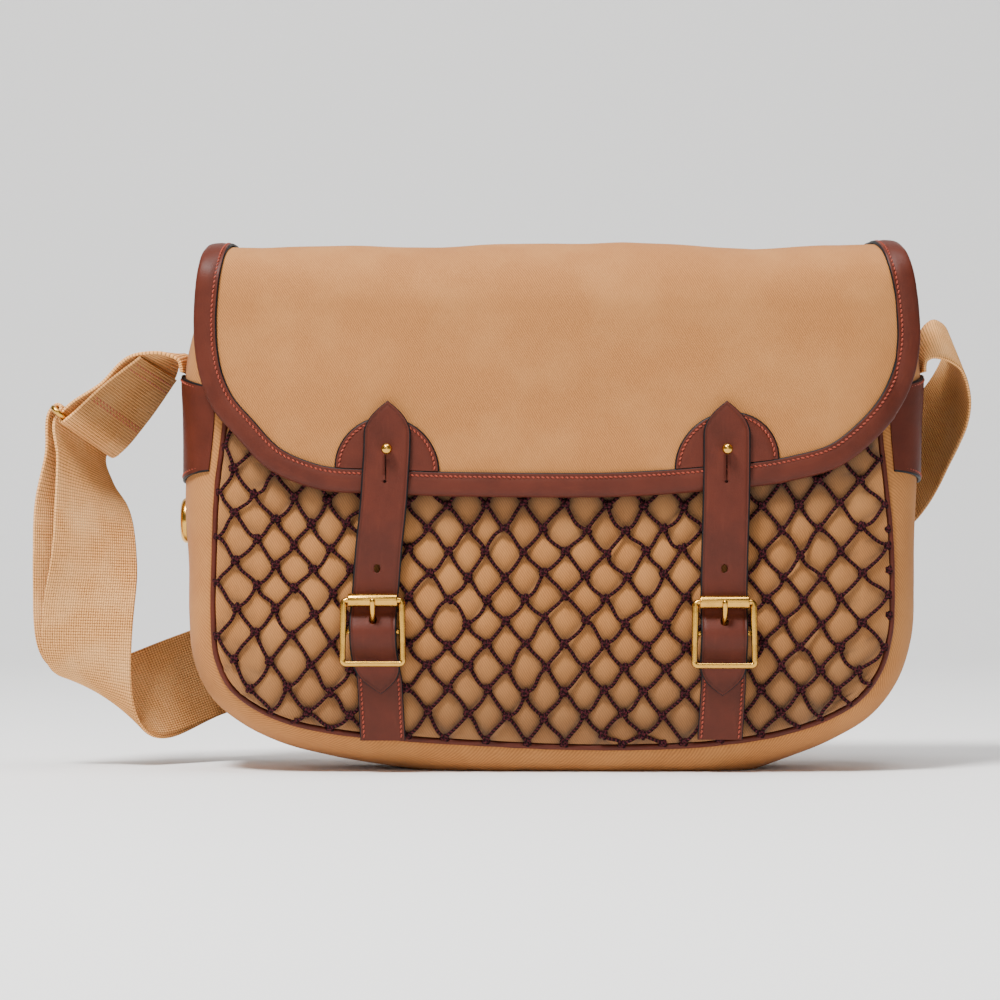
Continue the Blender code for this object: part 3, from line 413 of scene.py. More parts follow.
def mix_palette() -> Palette:
    """Makes all the finishes."""
    return Palette(CottonDrill().material(), BridleLeather().material(), SewingThread().material(),
                   NetCord().material(), CastBrass().material(), CottonWebbing().material(),
                   StudioPaper().material())


# Curves and grids

def chord_places(rows: Grid) -> Grid:
    """The length along the rows up to each one."""
    steps = np.linalg.norm(np.diff(rows, axis=0), axis=1)
    return np.concatenate([[0.0], np.cumsum(steps)])


def places_across(grid: Grid) -> Grid:
    """The length along each row of a grid of points, from its first column up to each one."""
    steps = np.linalg.norm(np.diff(grid, axis=1), axis=2)
    return np.concatenate([np.zeros((len(grid), 1)), np.cumsum(steps, axis=1)], axis=1)


def hermite(rows: Grid, places: Grid, wanted: Grid) -> Grid:
    """A smooth curve through rows: cubic Hermite pieces whose slopes are the rows' own differences.

    Args:
        rows: one row of values for each place.
        places: growing parameter values of the rows.
        wanted: parameter values to read at.

    Returns:
        One row for each wanted value.
    """
    slopes = np.gradient(rows, places, axis=0)
    index = np.clip(np.searchsorted(places, wanted, side="right") - 1, 0, len(places) - 2)
    span = (places[index + 1] - places[index])[:, None]
    t = ((wanted - places[index]) / span[:, 0])[:, None]
    start, end = rows[index], rows[index + 1]
    return ((2 * t**3 - 3 * t**2 + 1) * start + (t**3 - 2 * t**2 + t) * span * slopes[index]
            + (3 * t**2 - 2 * t**3) * end + (t**3 - t**2) * span * slopes[index + 1])


def smooth_even(rows: Grid, count: int, measured: int = 2) -> Grid:
    """The smooth curve through the rows as evenly spaced points, its length taken from the first columns."""
    places = chord_places(rows[:, :measured])
    fine = hermite(rows, places, np.linspace(0, places[-1], 1200))
    lengths = chord_places(fine[:, :measured])
    wanted = np.linspace(0, lengths[-1], count)
    return np.stack([np.interp(wanted, lengths, column) for column in fine.T], axis=1)


def smooth_rows(rows: Grid, step: float) -> Grid:
    """The smooth surface through a band's rows, each stretch cut into pieces about a step long.

    Args:
        rows: two edge points for each row, six numbers.
        step: wanted spacing of the new rows in millimetres.

    Returns:
        The new rows, which pass through the given ones.
    """
    places = chord_places((rows[:, :3] + rows[:, 3:]) / 2)
    wanted = [np.zeros(1)]
    for start, end in zip(places[:-1], places[1:]):
        pieces = max(1, round((end - start) / step))
        wanted.append(start + (end - start) * np.arange(1, pieces + 1) / pieces)
    return hermite(rows, places, np.concatenate(wanted))


def eased(rows: Grid, reach: float, amount: Grid) -> Grid:
    """Rows eased towards their weighted mean with their neighbours, by an amount for each row.

    Args:
        rows: edge points at even steps.
        reach: standard deviation of the weights, in rows.
        amount: from 0, which leaves a row, to 1.

    Returns:
        The eased rows.
    """
    offsets = np.arange(-round(3 * reach), round(3 * reach) + 1)
    weights = bell(offsets, reach * math.sqrt(2))
    places = np.clip(np.arange(len(rows))[:, None] + offsets, 0, len(rows) - 1)
    mean = np.einsum("k,nk...->n...", weights / weights.sum(), rows[places])
    return rows + (mean - rows) * amount.reshape(-1, *[1] * (rows.ndim - 1))


def read_at(path: Grid, parts: Grid) -> Grid:
    """The path read at these parts of its length."""
    lengths = chord_places(path)
    wanted = np.asarray(parts) * lengths[-1]
    return np.stack([np.interp(wanted, lengths, column) for column in path.T], axis=1)


def even_path(path: Grid, step: float) -> Grid:
    """The path resampled at about this spacing."""
    count = max(2, int(round(chord_places(path)[-1] / step)) + 1)
    return read_at(path, np.linspace(0, 1, count))


def unit(vectors: Grid) -> Grid:
    """The vectors at length one."""
    return vectors / np.maximum(np.linalg.norm(vectors, axis=-1, keepdims=True), 1e-9)


def outward_normals(path: Grid) -> Grid:
    """Front-view normals of a path that goes down the left, along the base and up the right."""
    along = unit(np.gradient(path, axis=0))
    return np.stack([along[:, 1], -along[:, 0]], axis=1)


def split_outline(path: Grid) -> tuple[Grid, Grid, Grid]:
    """Cuts a U-shaped outline where it turns through 45 degrees, into left, bottom and right."""
    normals = outward_normals(path)
    downward = -normals[:, 1] > np.abs(normals[:, 0])
    left = int(np.argmax(downward))
    right = len(path) - 1 - int(np.argmax(downward[::-1]))
    return path[: left + 1], path[left: right + 1], path[right:][::-1]


def fill_outline(path: Grid, across_parts: Grid, down_parts: Grid) -> Grid:
    """A grid that fills a U-shaped outline.

    A point is the blend of its left and right side, plus the blend of its top and bottom side,
    less the blend of the four corners.

    Args:
        path: the outline, down the left, along the base and up the right.
        across_parts: parts of the width, from 0 to 1.
        down_parts: parts of the height, from 0 at the top to 1.

    Returns:
        Points indexed by across, down and coordinate.
    """
    left, bottom, right = split_outline(path)
    left = read_at(left, down_parts)[None, :, :]
    right = read_at(right, down_parts)[None, :, :]
    bottom = read_at(bottom, across_parts)[:, None, :]
    u = np.asarray(across_parts)[:, None, None]
    v = np.asarray(down_parts)[None, :, None]
    top = left[0, 0] * (1 - u) + right[0, 0] * u
    corners = ((1 - u) * (1 - v) * top[0, 0] + u * (1 - v) * top[-1, 0]
               + (1 - u) * v * bottom[0, 0] + u * v * bottom[-1, 0])
    return (1 - u) * left + u * right + (1 - v) * top + v * bottom - corners


def edge_parts(inner: int) -> Grid:
    """Parts of a width: close together near both edges and even between."""
    edge = np.array([0.0, 0.004, 0.012, 0.025, 0.045, 0.07])
    middle = np.linspace(edge[-1], 1 - edge[-1], inner + 1)
    return np.concatenate([edge[:-1], middle, 1 - edge[:-1][::-1]])


def surface_normals(grid: Grid) -> Grid:
    """Unit normals of a grid: the cross product of its two directions' differences."""
    return unit(np.cross(np.gradient(grid, axis=0), np.gradient(grid, axis=1)))


def soft_noise(x: Grid, y: Grid, size: float, seed: int) -> Grid:
    """Smooth noise from -1 to 1: the sum of eight sines of unlike direction and wavelength near size."""
    rng = np.random.default_rng(seed)
    total = np.zeros(np.broadcast(x, y).shape)
    for angle, stretch_by, phase in zip(rng.uniform(0, math.pi, 8), rng.uniform(0.7, 1.6, 8),
                                        rng.uniform(0, 2 * math.pi, 8)):
        reach = (x * math.cos(angle) + y * math.sin(angle)) * 2 * math.pi / (size * stretch_by)
        total = total + np.sin(reach + phase)
    return total / 4.0


def bell(distance: Grid, width: float) -> Grid:
    """A smooth hump: one at distance zero, and falling as a Gaussian of this width."""
    return np.exp(-(distance / width) ** 2)


# Meshes

def grid_faces(rows: int, columns: int, wrap: bool, ring: bool) -> Grid:
    """Quads of a grid of points, closed round the columns, the rows, both or neither.

    Args:
        rows: number of rows.
        columns: number of columns.
        wrap: the last column meets the first.
        ring: the last row meets the first.

    Returns:
        Four indices for each quad.
    """
    i = np.arange(rows if ring else rows - 1)[:, None]
    j = np.arange(columns if wrap else columns - 1)[None, :]
    down, over = (i + 1) % rows, (j + 1) % columns
    quads = np.stack([i * columns + j, i * columns + over, down * columns + over, down * columns + j],
                     axis=-1)
    return quads.reshape(-1, 4)


@dataclass
class Shape:
    """Points, faces and point attributes of one or more surfaces, in millimetres."""

    points: list = field(default_factory=list)
    faces: list = field(default_factory=list)
    cloth: list = field(default_factory=list)
    edge: list = field(default_factory=list)
    crease: list = field(default_factory=list)
    count: int = 0

    def add(self, points: Grid, faces: Grid | list, cloth: Grid | None = None,
            edge: Grid | None = None, crease: Grid | None = None) -> None:
        """Adds a surface.

        Args:
            points: its points, in any shape that ends in three.
            faces: its faces, counted from its own first point.
            cloth: two pattern coordinates in millimetres for each point.
            edge: how far each point belongs to a painted edge.
            crease: how far each point belongs to a pressed or dark line, or carries painted shade.
        """
        flat = np.asarray(points, float).reshape(-1, 3)
        self.points.append(flat)
        self.faces.extend((np.asarray(face) + self.count).tolist() for face in faces)
        empty = np.zeros(len(flat))
        self.cloth.append(np.zeros((len(flat), 2)) if cloth is None else np.reshape(cloth, (-1, 2)))
        self.edge.append(empty if edge is None else np.reshape(edge, -1))
        self.crease.append(empty if crease is None else np.reshape(crease, -1))
        self.count += len(flat)

    def add_many(self, points: Grid, faces: Grid, cloth: Grid) -> None:
        """Adds copies of one form: points indexed by copy, point and coordinate, and shared faces."""
        copies, size = points.shape[:2]
        offsets = (np.arange(copies) * size)[:, None, None]
        self.add(points, (offsets + faces[None]).reshape(-1, faces.shape[-1]), cloth)

    def make(self, name: str, material: bpy.types.Material, merge: bool = True,
             sharp: float = 50.0) -> bpy.types.Object:
        """Builds the mesh object.

        Args:
            name: the piece's name.
            material: its finish.
            merge: joins doubles and turns the faces outwards, for a closed form.
            sharp: angle in degrees past which an edge is left unsmoothed.

        Returns:
            The object, at the origin.
        """
        mesh = bpy.data.meshes.new(name)
        points = np.concatenate(self.points)
        mesh.from_pydata((points * MM).tolist(), [], self.faces)
        flat_cloth = np.concatenate([np.concatenate(self.cloth), np.zeros((len(points), 1))], axis=1)
        layer = mesh.attributes.new("cloth", "FLOAT_VECTOR", "POINT")
        layer.data.foreach_set("vector", flat_cloth.astype(np.float32).ravel())
        for label, values in (("edge", self.edge), ("crease", self.crease)):
            layer = mesh.attributes.new(label, "FLOAT", "POINT")
            layer.data.foreach_set("value", np.concatenate(values).astype(np.float32))
        if merge:
            joined = bmesh.new()
            joined.from_mesh(mesh)
            bmesh.ops.remove_doubles(joined, verts=joined.verts, dist=0.000002)
            bmesh.ops.recalc_face_normals(joined, faces=joined.faces)
            joined.to_mesh(mesh)
            joined.free()
        mesh.materials.append(material)
        mesh.shade_smooth()
        mesh.set_sharp_from_angle(angle=math.radians(sharp))
        piece = bpy.data.objects.new(name, mesh)
        bpy.context.scene.collection.objects.link(piece)
        return piece


def swept(points: Grid, closing: Closing, paired: bool = False) -> tuple[Grid, list]:
    """Faces of sections that follow one another, each closed on itself.

    Args:
        points: indexed by row, place round the section and coordinate.
        closing: flat caps at both ends, or the last row joined to the first.
        paired: the section goes out along one face and back along the other, so its caps are
            ladders of quads.

    Returns:
        The points and their faces.
    """
    rows, columns = points.shape[:2]
    faces = grid_faces(rows, columns, True, closing is Closing.RING).tolist()
    if closing is Closing.ENDS and paired:
        j = np.arange(columns // 2 - 1)
        ladder = np.stack([j, j + 1, columns - 2 - j, columns - 1 - j], axis=1)
        faces += ladder[:, ::-1].tolist() + (ladder + (rows - 1) * columns).tolist()
    elif closing is Closing.ENDS:
        faces.append(list(range(columns))[::-1])
        faces.append([(rows - 1) * columns + j for j in range(columns)])
    return points, faces


def tube(shape: Shape, path: Grid, radius: float | Grid, facing: Grid, sides: int = 12,
         closing: Closing = Closing.ENDS) -> None:
    """Adds a round bar: circles across the path, turned from a facing direction.

    Args:
        shape: what it is added to.
        path: points of the centre line.
        radius: one radius, or one for each point.
        facing: a direction, or one for each point, that the path never runs along.
        sides: corners of each circle.
        closing: flat ends or a closed ring.
    """
    if closing is Closing.RING:
        along = unit(np.roll(path, -1, axis=0) - np.roll(path, 1, axis=0))
    else:
        along = unit(np.gradient(path, axis=0))
    side = unit(np.cross(along, np.broadcast_to(facing, path.shape)))
    up = np.cross(side, along)
    angles = np.arange(sides) * 2 * math.pi / sides
    reach = np.broadcast_to(np.asarray(radius, float), (len(path),))[:, None, None]
    circle = np.cos(angles)[None, :, None] * side[:, None] + np.sin(angles)[None, :, None] * up[:, None]
    points = path[:, None, :] + circle * reach
    places = chord_places(path)
    round_place = np.broadcast_to((angles / (2 * math.pi) * ROUND_PATTERN)[None, :], points.shape[:2])
    cloth = np.stack([round_place, np.broadcast_to(places[:, None], points.shape[:2])], axis=-1)
    points, faces = swept(points, closing)
    shape.add(points, faces, cloth)


def turned(shape: Shape, profile: Grid, centre: Grid, axis: Grid, steps: int, ring: bool) -> None:
    """Adds a turned piece: a profile of radius and height swept round an axis.

    Args:
        shape: what it is added to.
        profile: rows of radius and height.
        centre: where height zero is.
        axis: direction of height.
        steps: facets round the axis.
        ring: the profile closes on itself; otherwise its ends are closed at the axis.
    """
    axis = unit(np.asarray(axis, float))
    side = unit(np.cross(axis, (0.31, 0.2, 0.93)))
    up = np.cross(axis, side)
    angles = np.arange(steps) * 2 * math.pi / steps
    circle = np.cos(angles)[:, None] * side + np.sin(angles)[:, None] * up
    points = centre + profile[:, 0, None, None] * circle[None] + profile[:, 1, None, None] * axis
    points, faces = swept(points, Closing.RING if ring else Closing.ENDS)
    shape.add(points, faces)


def slab(shape: Shape, grid: Grid, thickness: float, rounding: float = 0.5, lift: Grid | None = None,
         cloth: Grid | None = None, crease: Grid | None = None, painted: bool = False,
         inner_painted_shade: bool = False, closing: Closing = Closing.ENDS) -> None:
    """Adds a wall about a grid of middle points: each row becomes one closed section.

    Both faces stand half the thickness off the grid along its normal. Towards the first and last
    column the half thickness falls as a quarter circle, which rounds the wall's long edges.

    Args:
        shape: what it is added to.
        grid: middle points indexed by row, column and coordinate.
        thickness: the wall in millimetres.
        rounding: how far in from each long edge the rounding reaches.
        lift: extra height of the outer face, for creases.
        cloth: pattern coordinates; lengths along and across the grid where left out.
        crease: how far each grid point belongs to a dark line or carries painted shade, on the outer face.
        painted: both long edges carry edge paint, also on a narrow rim of the faces.
        inner_painted_shade: the inner face carries the same painted shade as the outer one.
        closing: flat ends, or the last row joined to the first.
    """
    normal = surface_normals(grid)
    across = places_across(grid)
    width = across[:, -1:]
    from_edge = np.minimum(across, width - across)
    part = np.clip(from_edge / rounding, 0, 1)
    half = thickness / 2 * (0.3 + 0.7 * np.sqrt(1 - (1 - part) ** 2))
    raised = np.zeros(half.shape) if lift is None else lift
    outer = grid + normal * (half + raised)[..., None]
    inner = grid - normal * half[..., None]
    section = np.concatenate([outer, inner[:, ::-1]], axis=1)
    if cloth is None:
        places = np.broadcast_to(chord_places(grid[:, grid.shape[1] // 2])[:, None], across.shape)
        cloth = np.stack([across, places], axis=-1)
    both = np.concatenate([cloth, cloth[:, ::-1]], axis=1)
    paint = (from_edge < 0.75).astype(float) if painted else np.zeros(from_edge.shape)
    edge = np.concatenate([paint, paint[:, ::-1]], axis=1)
    dark = np.zeros(across.shape) if crease is None else crease
    # Painted shade also on the inner face, where asked.
    line = np.concatenate([dark, dark[:, ::-1] * inner_painted_shade], axis=1)
    points, faces = swept(section, closing, True)
    shape.add(points, faces, both, edge, line)


@dataclass(frozen=True)
class Stitch:
    """One kind of stitch: its length, the step to the next, half its thickness, and its lean."""

    length: float
    pitch: float
    radius: float
    slant: float = 0.16


BINDING_STITCH = Stitch(2.05, 2.6, 0.5)
LEATHER_STITCH = Stitch(2.05, 2.6, 0.48)
CLOTH_STITCH = Stitch(2.6, 3.4, 0.36)
WEBBING_STITCH = Stitch(2.6, 3.3, 0.36)


def stitch_row(shape: Shape, path: Grid, out: Grid, stitch: Stitch) -> None:
    """Adds a row of sewn stitches along a path: short fat threads whose ends dive into the surface.

    A stitch's centre line rises from below the surface as a flat half ellipse. Its radius is
    largest in the middle, and each one leans a little across the row.

    Args:
        shape: what they are added to.
        path: points along the row, on the surface.
        out: the surface's outward direction at each point.
        stitch: the stitches' sizes.
    """
    length, pitch, radius = stitch.length, stitch.pitch, stitch.radius
    places = chord_places(path)
    count = int(places[-1] / pitch)
    if count < 1:
        return
    centres = (places[-1] - (count - 1) * pitch) / 2 + np.arange(count) * pitch
    read = [np.stack([np.interp(at, places, column) for column in path.T], axis=1)
            for at in (centres - length / 2, centres, centres + length / 2)]
    normal = unit(np.stack([np.interp(centres, places, column) for column in out.T], axis=1))
    along = unit(read[2] - read[0])
    side = np.cross(along, normal)
    t = np.linspace(-1, 1, 6)
    rise = np.sqrt(np.clip(1 - t**2, 0, 1)) * radius * 0.9 - radius * 0.55
    line = (read[1][:, None] + along[:, None] * (t * length / 2)[None, :, None]
            + side[:, None] * (t * stitch.slant * length)[None, :, None]
            + normal[:, None] * rise[None, :, None])
    angles = np.arange(6) * math.pi / 3
    thick = radius * (0.55 + 0.45 * np.sqrt(np.clip(1 - t**4, 0, 1)))
    circle = (np.cos(angles)[None, None, :, None] * side[:, None, None]
              + np.sin(angles)[None, None, :, None] * normal[:, None, None])
    points = line[:, :, None] + circle * thick[None, :, None, None]
    quads = grid_faces(6, 6, True, False)
    caps = np.array([[0, 5, 4, 3], [0, 3, 2, 1], [30, 31, 32, 33], [30, 33, 34, 35]])
    pattern = (angles[None, None, :] * 0.15, t[None, :, None] * length / 2)
    cloth = np.broadcast_to(np.stack(np.broadcast_arrays(*pattern), axis=-1), (count, 6, 6, 2))
    shape.add_many(points.reshape(count, 36, 3), np.concatenate([quads, caps]), cloth)


def settle(piece: bpy.types.Object, slot: str, *nodes: str) -> bpy.types.Object:
    """Rides the piece on the bag and hides the solids that it stands for."""
    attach(piece, BODY)
    if nodes:
        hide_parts(*nodes)
    LOG.info("%s: %d faces", piece.name, len(piece.data.polygons))
    return piece


# The seam as seen from the front, from the top left round the base to the top right.
# Columns: x, z, and how far the middle of the gusset stands outside the seam.
SEAM = np.array([
    (-174.0, 266.0, 12.0), (-174.3, 247.0, 20.0), (-174.8, 225.0, 24.0), (-176.2, 190.0, 22.5),
    (-180.5, 155.0, 18.0), (-182.2, 115.0, 16.5), (-182.6, 84.0, 15.5), (-180.8, 63.0, 14.5),
    (-174.0, 47.5, 13.5), (-162.0, 37.0, 13.0), (-144.0, 28.5, 13.5), (-118.0, 22.5, 14.5),
    (-80.0, 18.6, 17.0), (-38.0, 16.0, 20.0), (5.0, 14.0, 19.5), (48.0, 13.8, 19.5),
    (92.0, 16.2, 20.5), (125.0, 21.6, 15.5), (150.0, 29.8, 13.5), (167.0, 40.0, 13.0),
    (178.0, 54.5, 13.0), (184.0, 75.0, 13.5), (185.1, 100.0, 14.0), (184.2, 130.0, 15.5),
    (181.5, 157.0, 19.5), (178.5, 185.0, 23.0), (176.8, 225.0, 25.0), (176.5, 247.0, 20.0),
    (176.5, 266.0, 12.0),
])


@dataclass(frozen=True)
class NetPlan:
    """Where the net's knots lie on the front panel.

    Knots stand on a diamond lattice: place (i, j) is used where i + j is even. A slow wander moves
    them, and the meshes at the left edge are pulled up.
    """

    half_width: float = 10.65
    half_height: float = 12.6
    first_x: float = -55.9
    first_z: float = 94.9
    wander: float = 1.7
    left_pull: float = 7.0
    left_edge: float = -182.0
    pull_reach: float = 62.0

    def shift(self, x: Grid, z: Grid) -> tuple[Grid, Grid]:
        """How far the lattice is moved at a place, across and up."""
        pull = self.left_pull * bell(x - self.left_edge, self.pull_reach) * np.clip((z - 25) / 50, 0, 1)
        across = self.wander * soft_noise(x, z, 95.0, 11) + 0.45 * pull
        return across, self.wander * soft_noise(x, z, 80.0, 23) + pull

    def cell(self, x: Grid, z: Grid) -> Grid:
        """How far a place is inside its mesh: 0 under a cord and 1 in the middle of a diamond.

        The place goes back through the shift to lattice numbers p and q, and the value is the
        product of the sizes of sin(pi p) and sin(pi q), each to the power 0.75.
        """
        across, up = self.shift(x, z)
        i = (x - across - self.first_x) / self.half_width
        j = (z - up - self.first_z) / self.half_height
        p, q = (i + j) / 2, (i - j) / 2
        return (np.abs(np.sin(math.pi * p)) * np.abs(np.sin(math.pi * q))) ** 0.75


@dataclass
class DrillBody:
    """The bag's drill shell: crowned front, flat back, swelling gusset, and the piping in the front seam."""

    finishes: Palette
    plan: NetPlan
    seam_y: float = 44.0
    back_plane: float = 43.6
    gusset_front: float = -41.2
    gusset_back: float = 41.3
    roundness: float = 4.0
    wall: float = 1.8
    panel_inset: float = 1.9
    back_overhang: float = 0.8
    half_width: float = 186.0
    crown_foot: float = 12.0
    crown_top: float = 120.0
    front_crown: float = 11.0
    back_crown: float = 4.0
    rim_height: float = 146.0
    mouth: float = 264.0
    piping_radius: float = 1.6
    piping_plane: float = -43.2
    pucker: float = 2.6
    pucker_level: float = 0.34
    crease: float = 1.5
    # Strength and reach of the painted shade on the front canvas.
    flap_shade: float = 0.42
    flap_shade_reach: float = 30.0
    cord_shade: float = 0.34
    low_shade: float = 0.3
    right_shade: float = 0.1
    least_shade: float = 0.1
    shade_gain: float = 1.25

    def __post_init__(self) -> None:
        """Works out the seam's path and its outward normals."""
        self.seam = smooth_even(SEAM, 361)
        self.normals = outward_normals(self.seam[:, :2])

    def front_y(self, x: Grid, z: Grid) -> Grid:
        """The front panel's outer face.

        It stands out from the seam by the crown, times one less the 4.5th power of the way out to
        the sides, times its fall towards the base and towards the mouth.
        """
        across = np.clip(1 - np.abs(x / self.half_width) ** 4.5, 0, 1) ** 0.8
        below = 1 - np.clip((self.crown_top - z) / (self.crown_top - self.crown_foot), 0, 1) ** 2.6
        above = 1 - 0.5 * np.clip((z - self.crown_top) / self.rim_height, 0, 1) ** 2
        return -(self.seam_y + self.front_crown * across * below * above)

    def back_y(self, x: Grid, z: Grid) -> Grid:
        """The back panel's outer face: a shallow crown that dies out at all its edges."""
        across = np.clip(1 - np.abs(x / self.half_width) ** 3, 0, 1)
        upright = np.clip(1 - np.abs((z - 130.0) / 125.0) ** 3, 0, 1)
        return self.back_plane + self.back_crown * across * upright

    def gusset_point(self, seam: Grid, normal: Grid, across: Grid, lift: Grid | float) -> Grid:
        """A point on the gusset's outer face.

        It stands outside the seam by the swell times (1 - |across| to the fourth) to the 0.8th
        power, and never below the floor.

        Args:
            seam: rows of x, z and swell.
            normal: the seam's outward normals.
            across: from -1 at the front seam to 1 at the back.
            lift: extra height.

        Returns:
            Points in space.
        """
        swell = seam[..., 2] * np.clip(1 - np.abs(across) ** self.roundness, 0, 1) ** 0.8 + 0.9 + lift
        x = seam[..., 0] + normal[..., 0] * swell
        z = np.maximum(seam[..., 1] + normal[..., 1] * swell, 0.0)
        middle = (self.gusset_front + self.gusset_back) / 2
        half = (self.gusset_back - self.gusset_front) / 2
        return np.stack([x, middle + half * across + 0 * x, z], axis=-1)

    def column(self, side: Side, z: Grid) -> tuple[Grid, Grid]:
        """The seam's row and normal on one side of the bag at these heights."""
        half = len(self.seam) // 2
        chosen = slice(0, half) if side is Side.LEFT else slice(half, None)
        seam, normals = self.seam[chosen], self.normals[chosen]
        order = np.argsort(seam[:, 1])
        heights = seam[order, 1]
        rows, out = (np.stack([np.interp(z, heights, column) for column in table[order].T], axis=-1)
                     for table in (seam, normals))
        return rows, out

    def inset(self, distance: float) -> Grid:
        """The seam moved inwards in the front view, up to the mouth."""
        path = self.seam[:, :2] - self.normals * distance
        return path[path[:, 1] < self.mouth]

    def panel(self, name: str, node: str, path: Grid, face: Grid, across: int, down: int, out: int) -> None:
        """Makes one panel from its outline and its face's depth.

        Args:
            name: the piece's name.
            node: the solid it stands for.
            path: its outline in the front view.
            face: function of x and z that gives y on its outer face.
            across: columns.
            down: rows.
            out: 1 where outwards is +Y and -1 where it is -Y.
        """
        plan = fill_outline(path, edge_parts(across), np.linspace(0, 1, down))
        x, z = plan[..., 0], plan[..., 1]
        middle = np.stack([x, face(x, z) - out * self.wall / 2, z], axis=-1)
        shape = Shape()
        cloth = np.stack([x, z], axis=-1)
        grid = middle if out < 0 else middle[::-1]
        # The front's outer face carries painted shade, on both its faces.
        slab(shape, grid, self.wall, 1.2, cloth=cloth if out < 0 else cloth[::-1],
             crease=self.painted_canvas_shade(x, z) if out < 0 else None, inner_painted_shade=True)
        piece = settle(shape.make(name, self.finishes.drill), "drill", node)

    def front_face(self, x: Grid, z: Grid) -> Grid:
        """The front panel's outer face with the canvas puffed through each mesh of the net."""
        inside = np.clip(1 - np.abs(x / self.half_width) ** 10, 0, 1) * np.clip((z - 14) / 16, 0, 1)
        puff = self.pucker * (self.plan.cell(x, z) - self.pucker_level) * inside
        soft = 0.8 * soft_noise(x, z, 120.0, 5) * inside
        slack = soft_noise(x + 0.5 * z, 0.35 * z, 34.0, 61) * soft_noise(x, z, 90.0, 62)
        folds = self.crease * slack * np.clip((228 - z) / 40, 0, 1) * inside
        return self.front_y(x, z) - puff - soft - folds

    def painted_canvas_shade(self, x: Grid, z: Grid) -> Grid:
        """Painted shade on the front canvas: most under the flap's edge, along the cords, low and at the
        right.
        """
        under = np.interp(x, FLAP_FOOT[:, 0], FLAP_FOOT[:, 1]) - z
        shelter = self.flap_shade * np.clip(1 - under / self.flap_shade_reach, 0, 1) ** 1.4 * (under > 0)
        cords = self.cord_shade * (1 - self.plan.cell(x, z)) ** 2
        low = self.low_shade * np.clip((84 - z) / 60, 0, 1) + self.right_shade * np.clip((x - 60) / 80, 0, 1)
        return self.least_shade + self.shade_gain * (shelter + cords + low)

    def back_face(self, x: Grid, z: Grid) -> Grid:
        """The back panel's outer face with slow hollows."""
        fade = np.clip(1 - np.abs(x / self.half_width) ** 6, 0, 1)
        return self.back_y(x, z) + 0.9 * soft_noise(x, z, 150.0, 8) * fade

    def gusset(self) -> None:
        """The gusset: one strip for both sides and the base, with slow folds where it turns."""
        across = np.concatenate([[-1.0, -0.985], np.linspace(-0.95, 0.95, 33), [0.985, 1.0]])
        seam, normal = self.seam[:, None, :], self.normals[:, None, :]
        along = chord_places(self.seam[:, :2])[:, None]
        fold = 1.1 * soft_noise(along, across[None, :] * 40, 70.0, 31) * (1 - across[None, :] ** 4)
        raised = np.clip((self.seam[:, 1:2] - 30) / 40, 0, 1)
        grid = self.gusset_point(seam, normal, across[None, :], fold * raised - self.wall / 2)
        middle = grid + np.array([0.0, 0.0, self.wall / 2]) * (grid[..., 2:3] < self.wall / 2)
        cloth = np.stack(np.broadcast_arrays(across[None, :] * 44.0, along), axis=-1)
        shape = Shape()
        slab(shape, middle[:, ::-1], self.wall, 1.0, cloth=cloth[:, ::-1])
        piece = settle(shape.make("gusset_cloth", self.finishes.drill), "drill", "gusset")

    def piping(self) -> None:
        """The leather piping: a covered cord in the front seam."""
        path = self.seam[self.seam[:, 1] < self.mouth - 6]
        line = np.stack([path[:, 0], np.full(len(path), self.piping_plane), path[:, 1]], axis=1)
        wobble = 1 + 0.05 * soft_noise(chord_places(line), chord_places(line) * 0, 14.0, 3)
        shape = Shape()
        tube(shape, line, self.piping_radius * wobble, BACKWARDS, 14)
        settle(shape.make("piping_leather", self.finishes.leather), "leather", "front_piping")

    def seam_stitches(self) -> None:
        """Tan stitches along the back seam, where the back panel laps over the gusset."""
        path = self.inset(3.2)
        place = np.stack([path[:, 0], self.back_face(path[:, 0], path[:, 1]), path[:, 1]], axis=1)
        shape = Shape()
        stitch_row(shape, place, np.broadcast_to(BACKWARDS, place.shape), CLOTH_STITCH)
        settle(shape.make("back_seam_stitches", self.finishes.webbing), "drill")

    def build(self) -> None:
        """Builds the whole shell."""
        self.panel("front_canvas", "front_panel", self.inset(self.panel_inset), self.front_face, 190, 124, -1)
        self.panel("back_canvas", "back_panel", self.inset(-self.back_overhang), self.back_face, 60, 44, 1)
        self.gusset()
        self.piping()
        self.seam_stitches()


